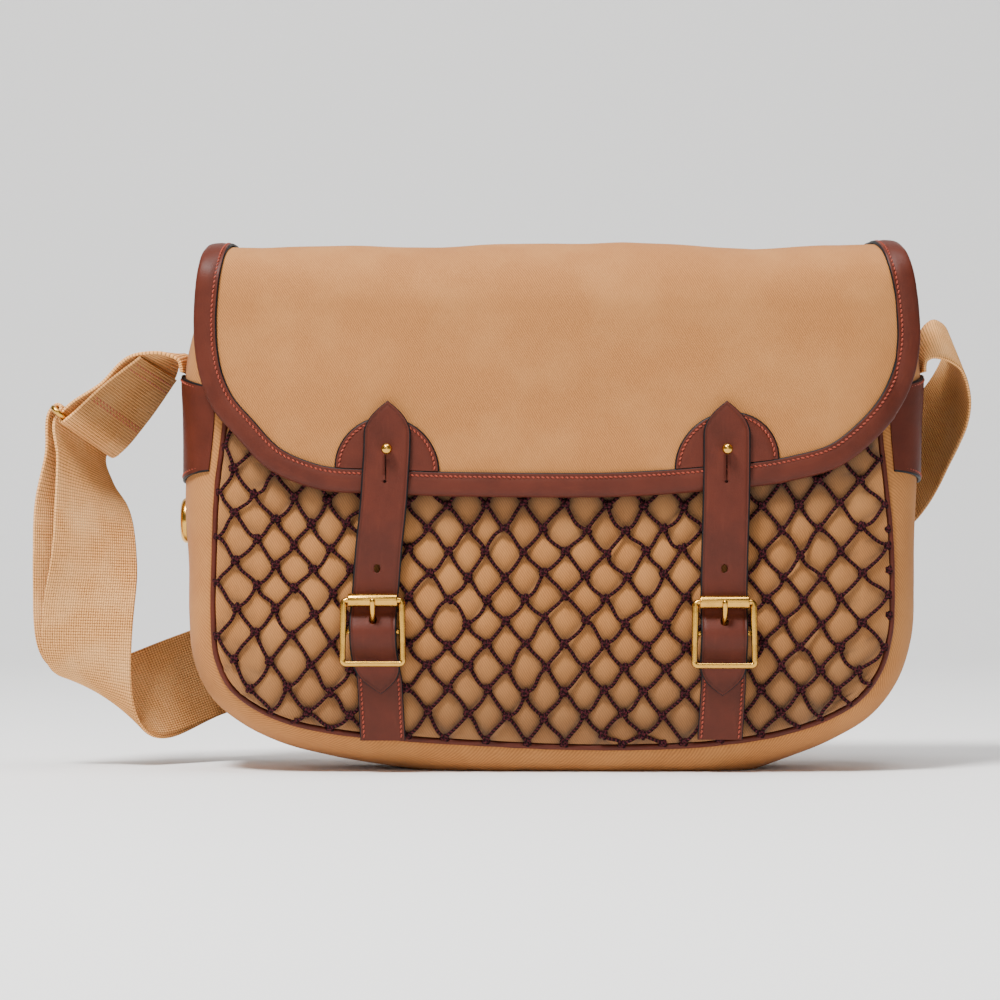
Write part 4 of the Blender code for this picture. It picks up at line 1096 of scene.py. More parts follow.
@dataclass
class KnottedNet:
    """The cord net over the front: bars between knots, tied to the piping all round."""

    finishes: Palette
    shell: DrillBody
    plan: NetPlan
    cord: float = 0.98
    knot_cord: float = 1.12
    lift: float = 1.25
    top: float = 226.0
    keep_outside: float = 7.0
    snap_inside: float = 5.6
    tie_inset: float = 2.2
    jitter: float = 0.8
    slack: float = 0.8
    seed: int = 4

    def lattice(self) -> tuple[Grid, Grid, Grid]:
        """The knots that the panel holds.

        Returns:
            The knots' lattice numbers, their places in the front view, and which are tied to the piping.
        """
        i, j = np.meshgrid(np.arange(-14, 26), np.arange(-9, 13), indexing="ij")
        used = (i + j) % 2 == 0
        numbers = np.stack([i[used], j[used]], axis=1)
        x = self.plan.first_x + numbers[:, 0] * self.plan.half_width
        z = self.plan.first_z + numbers[:, 1] * self.plan.half_height
        across, up = self.plan.shift(x, z)
        rng = np.random.default_rng(self.seed)
        place = np.stack([x + across, z + up], axis=1) + rng.uniform(-1, 1, (len(x), 2)) * self.jitter
        outline = self.shell.seam[:, :2]
        away = place[:, None, :] - outline[None]
        nearest = np.argmin((away**2).sum(axis=2), axis=1)
        row = np.arange(len(place))
        depth = -(away[row, nearest] * self.shell.normals[nearest]).sum(axis=1)
        kept = (depth > -self.keep_outside) & (place[:, 1] < self.top)
        tied = depth < self.snap_inside
        tie = outline[nearest] - self.shell.normals[nearest] * self.tie_inset
        place = np.where(tied[:, None], tie, place)
        return numbers[kept], place[kept], tied[kept]

    def surface(self, x: Grid, z: Grid, lift: Grid | float) -> Grid:
        """Points that stand off the front panel."""
        edge = np.clip(1 - np.abs(x / self.shell.half_width) ** 10, 0, 1)
        return np.stack([x, self.shell.front_y(x, z) - lift - 0.35 * (1 - edge), z], axis=-1)

    def bars(self, numbers: Grid, place: Grid, tied: Grid) -> Grid:
        """The cords between knots, as paths.

        A bar is a straight line plus a bow, t(1-t), and an S, sin(2 pi t), across it, and it sags a
        little under its weight.

        Returns:
            Points indexed by bar, step and coordinate.
        """
        index = {tuple(pair): k for k, pair in enumerate(numbers.tolist())}
        ends = [(k, index.get((i + 1, j + step))) for (i, j), k in index.items() for step in (-1, 1)]
        pairs = np.array([(a, b) for a, b in ends if b is not None and not (tied[a] and tied[b])])
        start, end = place[pairs[:, 0]], place[pairs[:, 1]]
        rng = np.random.default_rng(self.seed + 1)
        t = np.linspace(0, 1, 11)[None, :, None]
        along = unit(end - start)
        side = np.stack([-along[:, 1], along[:, 0]], axis=1)[:, None]
        bow = rng.normal(0, self.slack, (len(pairs), 1, 1)) * 4 * t * (1 - t)
        swing = rng.normal(0, self.slack * 0.45, (len(pairs), 1, 1)) * np.sin(2 * math.pi * t)
        line = start[:, None] * (1 - t) + end[:, None] * t + side * (bow + swing)
        line[..., 1] -= 0.7 * 4 * t[..., 0] * (1 - t[..., 0])
        ride = self.lift + rng.uniform(-0.1, 0.5, (len(pairs), 1)) * 4 * t[..., 0] * (1 - t[..., 0])
        return self.surface(line[..., 0], line[..., 1], ride)

    def cords(self, paths: Grid) -> None:
        """Lays all bars as one mesh of round cords, made as whole arrays."""
        sides, steps = 7, paths.shape[1]
        along = unit(np.gradient(paths, axis=1))
        side = unit(np.cross(along, BACKWARDS))
        up = np.cross(side, along)
        angles = np.arange(sides) * 2 * math.pi / sides
        circle = (np.cos(angles)[None, None, :, None] * side[:, :, None]
                  + np.sin(angles)[None, None, :, None] * up[:, :, None])
        points = paths[:, :, None] + circle * self.cord
        around = angles[None, None] / (2 * math.pi) * ROUND_PATTERN
        cloth = np.stack(np.broadcast_arrays(around, places_across(paths)[:, :, None]), axis=-1)
        quads = grid_faces(steps, sides, True, False)
        fans = [[0, k + 1, k] for k in range(1, sides - 1)]
        last = (steps - 1) * sides
        fans += [[last, last + k, last + k + 1] for k in range(1, sides - 1)]
        shape = Shape()
        copies = np.arange(len(points))[:, None, None] * steps * sides
        flat = points.reshape(-1, 3)
        shape.add(flat, (quads[None] + copies).reshape(-1, 4).tolist()
                  + (np.array(fans)[None] + copies).reshape(-1, 3).tolist(), cloth)
        settle(shape.make("net_cords", self.finishes.cord, merge=False), "cord", "net")

    def knots(self, place: Grid, tied: Grid) -> None:
        """Ties each knot: three turns of cord crossed over one another.

        A turn is a ring about a slanting axis, flattened towards the canvas. Each knot is turned a
        little, and a tied one holds the piping.
        """
        steps, sides = 11, 6
        around = np.arange(steps) * 2 * math.pi / steps
        section = np.arange(sides) * 2 * math.pi / sides
        rng = np.random.default_rng(self.seed + 2)
        spots = self.surface(place[:, 0], place[:, 1], np.where(tied, 0.9, self.lift + 0.35))
        spots[:, 1] = np.where(tied, self.shell.piping_plane - 1.2, spots[:, 1])
        shape = Shape()
        for lean, major, shove in ((0.75, 1.95, -0.3), (-0.8, 2.05, 0.25), (1.9, 1.45, 1.0)):
            turn = lean + rng.normal(0, 0.22, len(spots))
            ring_x = np.stack([np.cos(turn), 0 * turn, np.sin(turn)], axis=1)
            ring_y = np.broadcast_to(FORWARDS, ring_x.shape)
            axis = np.cross(ring_x, ring_y)
            radial = (np.cos(around)[None, :, None] * ring_x[:, None] * major
                      + np.sin(around)[None, :, None] * ring_y[:, None] * major * 0.72)
            centre = spots[:, None] + radial + axis[:, None] * shove
            out = unit(radial)
            circle = (np.cos(section)[None, None, :, None] * out[:, :, None]
                      + np.sin(section)[None, None, :, None] * axis[:, None, None])
            points = centre[:, :, None] + circle * self.knot_cord
            pattern = (section[None, None] * 0.33, around[None, :, None] * major)
            cloth = np.broadcast_to(np.stack(np.broadcast_arrays(*pattern), axis=-1),
                                    (len(spots), steps, sides, 2))
            shape.add_many(points.reshape(len(spots), -1, 3), grid_faces(steps, sides, True, True), cloth)
        settle(shape.make("net_knots", self.finishes.cord, merge=False), "cord")

    def build(self) -> None:
        """Builds the whole net."""
        numbers, place, tied = self.lattice()
        self.cords(self.bars(numbers, place, tied))
        self.knots(place, tied)


# The flap's outline. Columns: x, and w, which is the height on the front and then the length of
# cloth past the fold, over the top and down the back.
FLAP = np.array([
    (-183.0, 398.0), (-183.6, 350.0), (-184.6, 310.0), (-187.8, 285.0), (-190.2, 264.0), (-191.2, 245.0),
    (-190.4, 228.0), (-187.4, 213.0), (-180.5, 197.5), (-168.6, 183.5), (-152.0, 166.5), (-128.0, 156.0),
    (-88.0, 152.8), (-16.5, 151.0), (40.0, 151.4), (88.0, 154.8), (130.0, 160.0), (156.0, 168.0),
    (173.0, 181.0), (186.0, 196.0), (194.6, 214.0), (198.2, 232.0), (197.8, 250.0), (195.4, 268.0),
    (191.6, 288.0), (187.6, 312.0), (186.0, 350.0), (185.0, 398.0),
])

# The rows of the outline that are the flap's lower edge on the front.
FLAP_FOOT = FLAP[9:20]

# The flap's section over the top of the bag, from the fold to its sewn back edge. Columns: y, z.
FLAP_TOP = np.array([
    (-57.0, 246.0), (-55.5, 258.0), (-50.5, 270.0), (-41.0, 279.6), (-26.0, 285.3), (-6.0, 286.4),
    (18.0, 285.6), (35.0, 281.6), (44.4, 273.4), (47.6, 261.0), (47.6, 240.0),
])

# Slow waves along the top. Columns: place across, rise
TOP_WAVE = np.array([
    (-190.0, -0.6), (-150.0, -0.4), (-60.0, -0.6), (-10.0, 0.6), (40.0, 1.8), (80.0, 0.2), (112.0, -1.4),
    (150.0, 0.6), (195.0, 1.2),
])


@dataclass
class BoundFlap:
    """The curved flap, its leather binding, and the half-round patches under the closure straps."""

    finishes: Palette
    shell: DrillBody
    thickness: float = 1.8
    lift: float = 5.7
    fold: float = 246.0
    edge_inset: float = 1.4
    binding: float = 11.4
    binding_back: float = 8.0
    leather: float = 1.4
    gap: float = 0.5
    patch_radius: float = 28.2
    patch_wall: float = 1.7
    patch_x: dict = field(default_factory=lambda: {Side.LEFT: -88.0, Side.RIGHT: 94.6})

    def __post_init__(self) -> None:
        """Works out the outline's path and the section over the top."""
        self.path = smooth_even(FLAP, 521)
        self.normals = outward_normals(self.path)
        self.section = smooth_even(FLAP_TOP, 120)
        self.section_w = self.fold + chord_places(self.section)

    def middle(self, x: Grid, w: Grid) -> Grid:
        """A point of the middle of the cloth, from its place across and its unrolled height.

        Up to the fold it lies over the front panel at the flap's lift, and its outer parts draw
        back. Past the fold it follows the section over the top, raised by the top's waves.
        """
        front_z = np.minimum(w, self.fold)
        edge = 3.0 * np.clip((np.abs(x) - 172.0) / 26.0, 0, 1) ** 2
        lying_y = self.shell.front_y(x, front_z) - self.lift + edge
        section_y = np.interp(w, self.section_w, self.section[:, 0])
        section_z = np.interp(w, self.section_w, self.section[:, 1])
        past = np.clip((w - self.fold) / 40.0, 0, 1)
        fold_y = self.shell.front_y(x, np.full_like(x, self.fold)) - self.lift + edge
        over_y = section_y + (fold_y - self.section[0, 0]) * (1 - past * past * (3 - 2 * past))
        raised = np.interp(x, TOP_WAVE[:, 0], TOP_WAVE[:, 1])
        over_z = section_z + raised * np.clip((section_z - 262.0) / 24.0, 0, 1)
        on_front = w <= self.fold
        return np.stack([x, np.where(on_front, lying_y, over_y), np.where(on_front, w, over_z)], axis=-1)

    def point(self, x: Grid, w: Grid, lift: Grid | float) -> Grid:
        """A point that stands off the middle of the cloth along its normal, outwards."""
        step = 0.5
        normal = unit(np.cross(self.middle(x + step, w) - self.middle(x - step, w),
                               self.middle(x, w + step) - self.middle(x, w - step)))
        return self.middle(x, w) + normal * np.asarray(lift)[..., None]

    def relief(self, x: Grid, w: Grid) -> Grid:
        """The cloth's own unevenness: slow dents, a long soft fold at the left, and a tuck by the fold."""
        dents = 0.75 * soft_noise(x, w, 110.0, 17) + 0.35 * soft_noise(x, w, 48.0, 29)
        left = -1.5 * bell(x + 152.0 + 0.1 * (w - 220.0), 11.0) * bell(w - 232.0, 44.0)
        tuck = 1.0 * bell(x + 70.0 - 0.4 * (w - 246.0), 16.0) * bell(w - 252.0, 26.0)
        near_edge = np.clip((190.0 - np.abs(x)) / 30.0, 0, 1) * np.clip((w - 160.0) / 22.0, 0, 1)
        back = np.clip((392.0 - w) / 30.0, 0, 1)
        return (dents + left + tuck) * near_edge * back

    def cloth(self) -> None:
        """The flap's cloth."""
        down = np.unique(np.concatenate([np.linspace(0, 1, 110), np.linspace(0.03, 0.28, 40),
                                         np.linspace(0.42, 0.72, 50)]))
        plan = fill_outline(self.path - self.normals * self.edge_inset, edge_parts(120), down)
        x, w = plan[..., 0], plan[..., 1]
        grid = self.point(x, w, self.relief(x, w))
        shape = Shape()
        slab(shape, grid, self.thickness, 0.6, cloth=plan)
        piece = settle(shape.make("flap_cloth", self.finishes.drill), "drill", "flap")

    def bound_edge(self) -> None:
        """The binding: a strip folded over the edge, with rolled edges and a sewn groove.

        Its section runs from the front's inner edge round the fold to the back's inner edge and
        returns on the inside. The front leaf thins at its edge and dips where the stitches pull.
        """
        half = self.thickness / 2 + self.gap
        outer = half + self.leather
        groove = self.binding - 2.5
        front = [(self.binding, half), (self.binding, half + 0.75), (self.binding - 0.35, outer - 0.1),
                 (self.binding - 0.9, outer), (groove + 0.75, outer), (groove, outer - 0.34),
                 (groove - 0.75, outer), (groove - 3.4, outer + 0.3), (2.2, outer + 0.15),
                 (0.4, outer - 0.15), (-0.8, outer * 0.78), (-1.55, outer * 0.45)]
        back = [(-1.8, 0.0), (-1.55, -outer * 0.45), (-0.8, -outer * 0.78), (0.4, -outer),
                (self.binding_back - 0.4, -outer), (self.binding_back, -outer + 0.4),
                (self.binding_back, -half), (0.4, -half), (0.0, 0.0), (0.4, half)]
        section = np.array(front + back)
        kept = self.path[:, 1] < 396
        path, normals = self.path[kept][:, None], self.normals[kept][:, None]
        along = chord_places(self.path[kept])[:, None]
        place = path - normals * section[None, :, :1]
        swell = 0.16 * soft_noise(along, section[None, :, 0], 26.0, 41) * (section[None, :, 1] > half + 0.5)
        grid = self.point(place[..., 0], place[..., 1], section[None, :, 1] + swell)
        around = chord_places(section)[None, :]
        cloth = np.stack(np.broadcast_arrays(around, along), axis=-1)
        crease = np.broadcast_to(0.55 * bell(section[None, :, 0] - groove, 0.5) * (section[None, :, 1] > 0),
                                 cloth.shape[:2])
        rim = np.broadcast_to(((section[:, 0] > self.binding - 0.5) & (section[:, 1] > 0))[None] * 0.9,
                              cloth.shape[:2])
        shape = Shape()
        points, faces = swept(grid, Closing.ENDS)
        shape.add(points, faces, cloth, rim, crease)
        settle(shape.make("flap_binding_leather", self.finishes.leather), "leather", "flap_binding")
        row = self.path[kept] - self.normals[kept] * groove
        lift = np.full(len(row), outer - 0.2)
        place = self.point(row[:, 0], row[:, 1], lift)
        out = unit(place - self.point(row[:, 0], row[:, 1], lift - 1.0))
        threads = Shape()
        stitch_row(threads, place, out, BINDING_STITCH)
        settle(threads.make("flap_binding_stitches", self.finishes.thread, merge=False), "leather")

    def foot(self, x: Grid) -> Grid:
        """The height of the flap's lower edge at a place across."""
        low = self.path[self.path[:, 1] < 190]
        return np.interp(x, low[:, 0], low[:, 1])

    def half_round(self, side: Side) -> None:
        """A half-round patch: a polar grid about the middle of its straight foot, black at its cut edge."""
        centre = self.patch_x[side]
        radius = self.patch_radius
        inward = np.array([0.0, 0.12, 0.3, 0.6, 1.1, 1.7, 2.3, 2.6, 2.9, 3.6, 6.0, 12.0, 20.0, radius - 0.2])
        angle = np.linspace(0, math.pi, 61)[:, None]
        reach = (radius - inward)[None, :]
        x = centre + np.cos(angle) * reach
        rise = np.sin(angle) * reach
        z = self.foot(x) + self.binding + 0.15 + rise
        base = self.thickness / 2 + 0.3
        half = self.patch_wall * np.clip(0.35 + np.sqrt(np.clip(inward / 0.9, 0, 1)) * 0.65, 0, 1)
        dip = 0.3 * bell(inward - 2.6, 0.5)
        outer = self.point(x, z, np.broadcast_to((base + half - dip)[None, :], x.shape))
        inner = self.point(x, z, np.full(x.shape, base))
        grid = np.concatenate([outer[:, ::-1], inner], axis=1)
        cloth = np.stack([x, z], axis=-1)
        edge = np.broadcast_to((inward < 0.7).astype(float)[None], x.shape)
        crease = np.broadcast_to(0.5 * bell(inward - 2.6, 0.6)[None], x.shape)
        shape = Shape()
        points, faces = swept(grid, Closing.ENDS, True)
        shape.add(points, faces, np.concatenate([cloth[:, ::-1], cloth], axis=1),
                  np.concatenate([edge[:, ::-1], edge], axis=1),
                  np.concatenate([crease[:, ::-1], 0 * crease], axis=1))
        settle(shape.make(f"strap_patch_{side.value}_leather", self.finishes.leather), "leather",
               f"strap_patch_{side.value}")
        row_x = centre + np.cos(angle[:, 0]) * (radius - 2.6)
        row_z = self.foot(row_x) + self.binding + 0.4 + np.sin(angle[:, 0]) * (radius - 2.6)
        lift = np.full(len(row_x), base + self.patch_wall - 0.15)
        place = self.point(row_x, row_z, lift)
        out = unit(place - self.point(row_x, row_z, lift - 1.0))
        threads = Shape()
        stitch_row(threads, place, out, LEATHER_STITCH)
        settle(threads.make(f"strap_patch_{side.value}_stitches", self.finishes.thread, merge=False),
               "leather")

    def back_stitches(self) -> None:
        """Two rows of tan stitches where the flap is sewn to the back."""
        threads = Shape()
        for w in (388.0, 380.0):
            x = np.linspace(-172, 172, 120)
            place = self.point(x, np.full_like(x, w), np.full_like(x, self.thickness / 2))
            out = np.broadcast_to(BACKWARDS, place.shape)
            stitch_row(threads, place, out, CLOTH_STITCH)
        settle(threads.make("flap_back_stitches", self.finishes.webbing, merge=False), "drill")

    def build(self) -> None:
        """Builds the flap and all that is sewn to it."""
        self.cloth()
        self.bound_edge()
        self.back_stitches()
        for side in Side:
            self.half_round(side)


# Closure straps. Columns: z, x of the middle, and lift of the back face from the front panel.
LEFT_STRAP = np.array([
    (201.0, -87.6, 9.2), (188.0, -87.8, 9.2), (175.0, -88.0, 9.2), (162.0, -88.8, 9.2), (150.0, -89.5, 9.1),
    (138.0, -90.6, 8.6), (124.0, -92.2, 6.8), (110.0, -93.4, 4.6), (101.0, -94.1, 3.4), (94.0, -94.8, 3.1),
    (88.0, -95.2, 4.6), (83.0, -95.5, 7.6), (77.0, -95.6, 10.0), (71.0, -95.4, 9.2), (65.0, -94.9, 6.2),
    (60.0, -94.0, 4.9), (52.0, -92.6, 4.7), (43.5, -91.4, 4.7),
])
RIGHT_STRAP = np.array([
    (201.0, 94.5, 9.2), (175.0, 94.4, 9.2), (162.0, 94.3, 9.2), (150.0, 94.1, 9.1), (138.0, 93.8, 8.6),
    (124.0, 93.5, 6.8), (110.0, 93.3, 4.6), (100.0, 93.2, 3.4), (93.0, 93.2, 3.1), (87.0, 93.2, 4.6),
    (82.0, 93.2, 7.6), (76.0, 93.2, 10.0), (70.0, 93.1, 9.2), (64.0, 93.0, 6.2), (59.0, 92.9, 4.9),
    (51.0, 92.7, 4.7), (42.5, 92.5, 4.7),
])


@dataclass
class ClosureStrap:
    """A one-inch leather strap with its stud, its buckle and the tab that holds the buckle."""

    finishes: Palette
    shell: DrillBody
    side: Side
    table: Grid
    buckle: tuple[float, float]
    tab_foot: tuple[float, float]
    width: float = 25.4
    wall: float = 2.3
    top_tip: float = 18.0
    low_tip: float = 16.0
    stud_z: float = 175.2
    slit_length: float = 14.5
    hole_z: float = 111.0
    frame_width: float = 34.8
    frame_top: float = 17.0
    frame_foot: float = -17.0
    frame_lift: float = 10.3
    bar_lift: float = 5.9
    roller_radius: float = 3.6
    roller_length: float = 26.4
    tab_width: float = 21.8
    tab_wall: float = 1.8
    tab_lift: float = 2.55

    def half_width_at(self, z: Grid) -> Grid:
        """Half the strap's width: full, then closing as a pointed arch at each end.

        The arch is one less the square of the part of the tip's length that is still to go.
        """
        top, low = self.table[0, 0], self.table[-1, 0]
        arches = [1 - (1 - np.clip(distance / tip, 0, 1)) ** 2
                  for distance, tip in ((top - z, self.top_tip), (z - low, self.low_tip))]
        return self.width / 2 * np.maximum(arches[0] * arches[1], 0.02)

    def at(self, z: Grid) -> tuple[Grid, Grid]:
        """The strap's middle and the lift of its back face at these heights."""
        rows = self.rows
        return np.interp(z, rows[::-1, 0], rows[::-1, 1]), np.interp(z, rows[::-1, 0], rows[::-1, 2])

    def __post_init__(self) -> None:
        """Works out the strap's smooth middle line."""
        self.rows = smooth_even(self.table, 241, measured=3)

    def strap(self) -> None:
        """The strap: skived at its painted edges and creased along them, cut for the stud and the tongue."""
        z, x, lift = self.rows.T
        half = self.half_width_at(z)[:, None]
        inward = np.array([0.0, 0.12, 0.3, 0.7, 1.2, 1.55, 1.9, 2.4, 3.4, 5.4, 8.0, 10.4, 12.7])
        distance = inward[None, :] * half / inward[-1]
        left = x[:, None] - half + distance
        right = (x[:, None] + half - distance)[:, ::-1][:, 1:]
        place = np.concatenate([left, right], axis=1)
        height = np.broadcast_to(z[:, None], place.shape)
        from_side = half - np.abs(place - x[:, None])
        slope = np.abs(np.gradient(half[:, 0], z))[:, None]
        from_edge = from_side / np.sqrt(1 + slope**2)
        line = bell(from_edge - 1.75, 0.42)
        middle = np.broadcast_to(x[:, None], place.shape)
        y = self.shell.front_y(middle, height) - lift[:, None] - self.wall / 2
        curl = 0.35 * (1 - (from_side / 12.7)) ** 2
        grid = np.stack([place, y + curl, height], axis=-1)
        cloth = np.stack([place - x[:, None], height], axis=-1)
        shape = Shape()
        slab(shape, grid, self.wall, 0.75, lift=-0.34 * line, cloth=cloth, crease=0.75 * line, painted=True)
        strap = shape.make(f"closure_strap_{self.side.value}_leather", self.finishes.leather)
        self.punch(strap)
        settle(strap, "leather", f"closure_strap_{self.side.value}")

    def punch(self, strap: bpy.types.Object) -> None:
        """Cuts the slit under the stud, the spare hole and the tongue's hole."""
        cutters = Shape()
        bx, bz = self.buckle
        for z, half_x, half_z in ((self.stud_z - 2.6 - self.slit_length / 2, 0.36, self.slit_length / 2),
                                  (self.stud_z - 3.0 - self.slit_length, 0.85, 0.85),
                                  (self.hole_z, 1.75, 2.35), (bz + 6.6, 2.2, 2.3)):
            x, lift = self.at(np.array([z]))
            angles = np.arange(20) * math.pi / 10
            ring = np.stack([x[0] + half_x * np.cos(angles), 0 * angles, z + half_z * np.sin(angles)], axis=1)
            depth = self.shell.front_y(x, np.array([z]))[0] - lift[0]
            near, far = ring + [0, depth - 9.0, 0], ring + [0, depth + 6.0, 0]
            points, faces = swept(np.stack([near, far]), Closing.ENDS)
            cutters.add(points, faces)
        cutter = cutters.make("punch", self.finishes.leather)
        cut = strap.modifiers.new("punched", "BOOLEAN")
        cut.operation = "DIFFERENCE"
        cut.solver = "EXACT"
        cut.use_self = True
        cut.object = cutter
        bpy.context.view_layer.update()
        graph = bpy.context.evaluated_depsgraph_get()
        result = bpy.data.meshes.new_from_object(strap.evaluated_get(graph))
        strap.modifiers.clear()
        strap.data = result
        bpy.data.objects.remove(cutter, do_unlink=True)

    def stud(self) -> None:
        """The ball stud: a turned ball on a short neck, with a washer against the leather."""
        x, lift = self.at(np.array([self.stud_z]))
        y = self.shell.front_y(x, np.array([self.stud_z]))[0] - lift[0] - self.wall + 0.25
        ball = np.linspace(-1.12, math.pi / 2 - 0.02, 18)
        washer = [(0.0, 0.0), (1.9, 0.0), (1.9, 0.35), (1.3, 0.6), (1.25, 1.0)]
        dome = np.stack([3.0 * np.cos(ball), 4.0 + 3.0 * np.sin(ball)], axis=1)
        profile = np.concatenate([washer, dome, [(0.0, 7.0)]])
        shape = Shape()
        turned(shape, profile, np.array([x[0], y, self.stud_z]), FORWARDS, 28, False)
        settle(shape.make(f"stud_{self.side.value}_brass", self.finishes.brass), "brass",
               f"strap_stud_{self.side.value}")

    def frame(self) -> None:
        """The buckle's frame: a round-cornered rectangle, thicker at its upper sides, and its centre bar."""
        x, z = self.buckle
        face = float(self.shell.front_y(x, z))
        half = self.frame_width / 2 - 1.5
        corner = 1.7
        quarter = np.linspace(0, math.pi / 2, 9)
        path = []
        for sign_x, sign_z, start in ((1, 1, 0.0), (-1, 1, 0.5), (-1, -1, 1.0), (1, -1, 1.5)):
            edge = self.frame_top if sign_z > 0 else self.frame_foot
            centre = np.array([x + sign_x * (half - corner), z + edge - sign_z * corner])
            angle = quarter + start * math.pi
            path.append(centre + corner * np.stack([np.cos(angle), np.sin(angle)], axis=1))
        outline = even_path(np.concatenate([*path, path[0][:1]]), 0.7)[:-1]
        taper = 1.0 - 0.022 * (outline[:, 1] - z) / self.frame_top
        outline[:, 0] = x + (outline[:, 0] - x) * taper
        line = np.stack([outline[:, 0], np.full(len(outline), face - self.frame_lift), outline[:, 1]], axis=1)
        shape = Shape()
        upper = np.clip((outline[:, 1] - z) / self.frame_top, -1, 1)
        flank = np.clip(np.abs(outline[:, 0] - x) - half + 1.0, 0, 1)
        tube(shape, line, 1.62 + 0.38 * flank * np.clip(upper + 0.35, 0, 1), BACKWARDS, 14,
             Closing.RING)
        back = face - self.bar_lift
        bar = np.array([(x - half, face - self.frame_lift, z), (x - half + 0.8, back, z),
                        (x + half - 0.8, back, z), (x + half, face - self.frame_lift, z)])
        tube(shape, even_path(bar, 1.2), 1.3, np.array([0.0, 0.0, 1.0]), 10)
        settle(shape.make(f"buckle_{self.side.value}_brass", self.finishes.brass), "brass",
               f"buckle_frame_{self.side.value}")

    def roller(self) -> None:
        """The roller: a rolled brass tube with rounded ends."""
        x, z = self.buckle
        centre = np.array([x, float(self.shell.front_y(x, z)) - self.frame_lift, z + self.frame_top])
        half, radius = self.roller_length / 2, self.roller_radius
        end = np.array([(1.9, 0.1), (2.6, 0.0), (radius - 0.35, 0.0), (radius - 0.08, 0.2), (radius, 0.6)])
        profile = np.concatenate([end + [0, -half], end[::-1] * [1, -1] + [0, half]])
        shape = Shape()
        turned(shape, profile, centre, TO_THE_RIGHT, 36, True)
        settle(shape.make(f"roller_{self.side.value}_brass", self.finishes.brass), "brass",
               f"buckle_roller_{self.side.value}")

    def tongue(self) -> None:
        """The tongue: a bent wire, thick at the bar and blunt where it rests on the roller."""
        x, z = self.buckle
        face = float(self.shell.front_y(x, z))
        rows = np.array([(0.0, 8.2), (3.0, 8.0), (5.4, 8.6), (7.6, 10.6), (10.0, 12.9), (13.0, 14.6),
                         (15.5, 15.2), (18.4, 15.3)])
        path = smooth_even(rows, 24)
        line = np.stack([np.full(24, x), face - path[:, 1], z + path[:, 0]], axis=1)
        part = np.linspace(0, 1, 24)
        radius = 1.45 * np.sqrt(np.clip(1 - np.clip((part - 0.93) / 0.07, 0, 1) ** 2, 0.06, 1))
        shape = Shape()
        tube(shape, line, radius, TO_THE_RIGHT, 12)
        settle(shape.make(f"tongue_{self.side.value}_brass", self.finishes.brass), "brass",
               f"buckle_tongue_{self.side.value}")

    def tab(self) -> None:
        """The tab: up from the piping, round the centre bar and down a little, sewn at both edges."""
        x, z = self.buckle
        foot_x, foot_z = self.tab_foot
        inner = self.tab_lift + self.tab_wall / 2
        wrap = self.bar_lift - inner
        turn = np.linspace(0, math.pi, 15)
        heights = np.concatenate([np.linspace(foot_z - 1.5, z - 3, 44), z + wrap * np.sin(turn),
                                  [z - 3.5, z - 7.0, z - 9.5]])
        lifts = np.concatenate([np.full(44, inner), self.bar_lift - wrap * np.cos(turn), [8.1, 6.6, 5.9]])
        lean = 0.3 * x + 0.7 * foot_x if self.side is Side.LEFT else x
        middle = np.interp(heights, [foot_z, 50.0, z], [foot_x, lean, x])
        widened = np.interp(heights, [foot_z, 52.0, z - 6, z], [1.12, 1.12, 1.0, 1.0])[:, None]
        inward = np.array([0.0, 0.12, 0.3, 0.8, 1.5, 2.1, 2.7, 4.0, 7.0])
        reach = self.tab_width / 2 * widened
        place = np.concatenate([middle[:, None] - reach + inward,
                                (middle[:, None] + reach - inward)[:, ::-1]], axis=1)
        height = np.broadcast_to(heights[:, None], place.shape)
        y = self.shell.front_y(place, height) - lifts[:, None]
        line = bell(np.concatenate([inward, inward[::-1]])[None] - 2.1, 0.45) * np.ones((len(heights), 1))
        grid = np.stack([place, y, height], axis=-1)
        cloth = np.stack([place - middle[:, None], height], axis=-1)
        shape = Shape()
        slab(shape, grid[:, ::-1], self.tab_wall, 0.6, lift=-0.25 * line, cloth=cloth[:, ::-1],
             crease=0.6 * line, painted=True)
        settle(shape.make(f"buckle_tab_{self.side.value}_leather", self.finishes.leather), "leather",
               f"buckle_tab_{self.side.value}")
        threads = Shape()
        low = heights[:40]
        for sign in (-1, 1):
            row_x = middle[:40] + sign * (reach[:40, 0] - 2.1)
            row_y = self.shell.front_y(row_x, low) - lifts[:40] - self.tab_wall / 2 + 0.1
            row = np.stack([row_x, row_y, low], axis=1)
            stitch_row(threads, row, np.broadcast_to(FORWARDS, row.shape), LEATHER_STITCH)
        settle(threads.make(f"buckle_tab_{self.side.value}_stitches", self.finishes.thread, merge=False),
               "leather")

    def build(self) -> None:
        """Builds the strap and its metal."""
        self.strap()
        self.stud()
        self.frame()
        self.roller()
        self.tongue()
        self.tab()


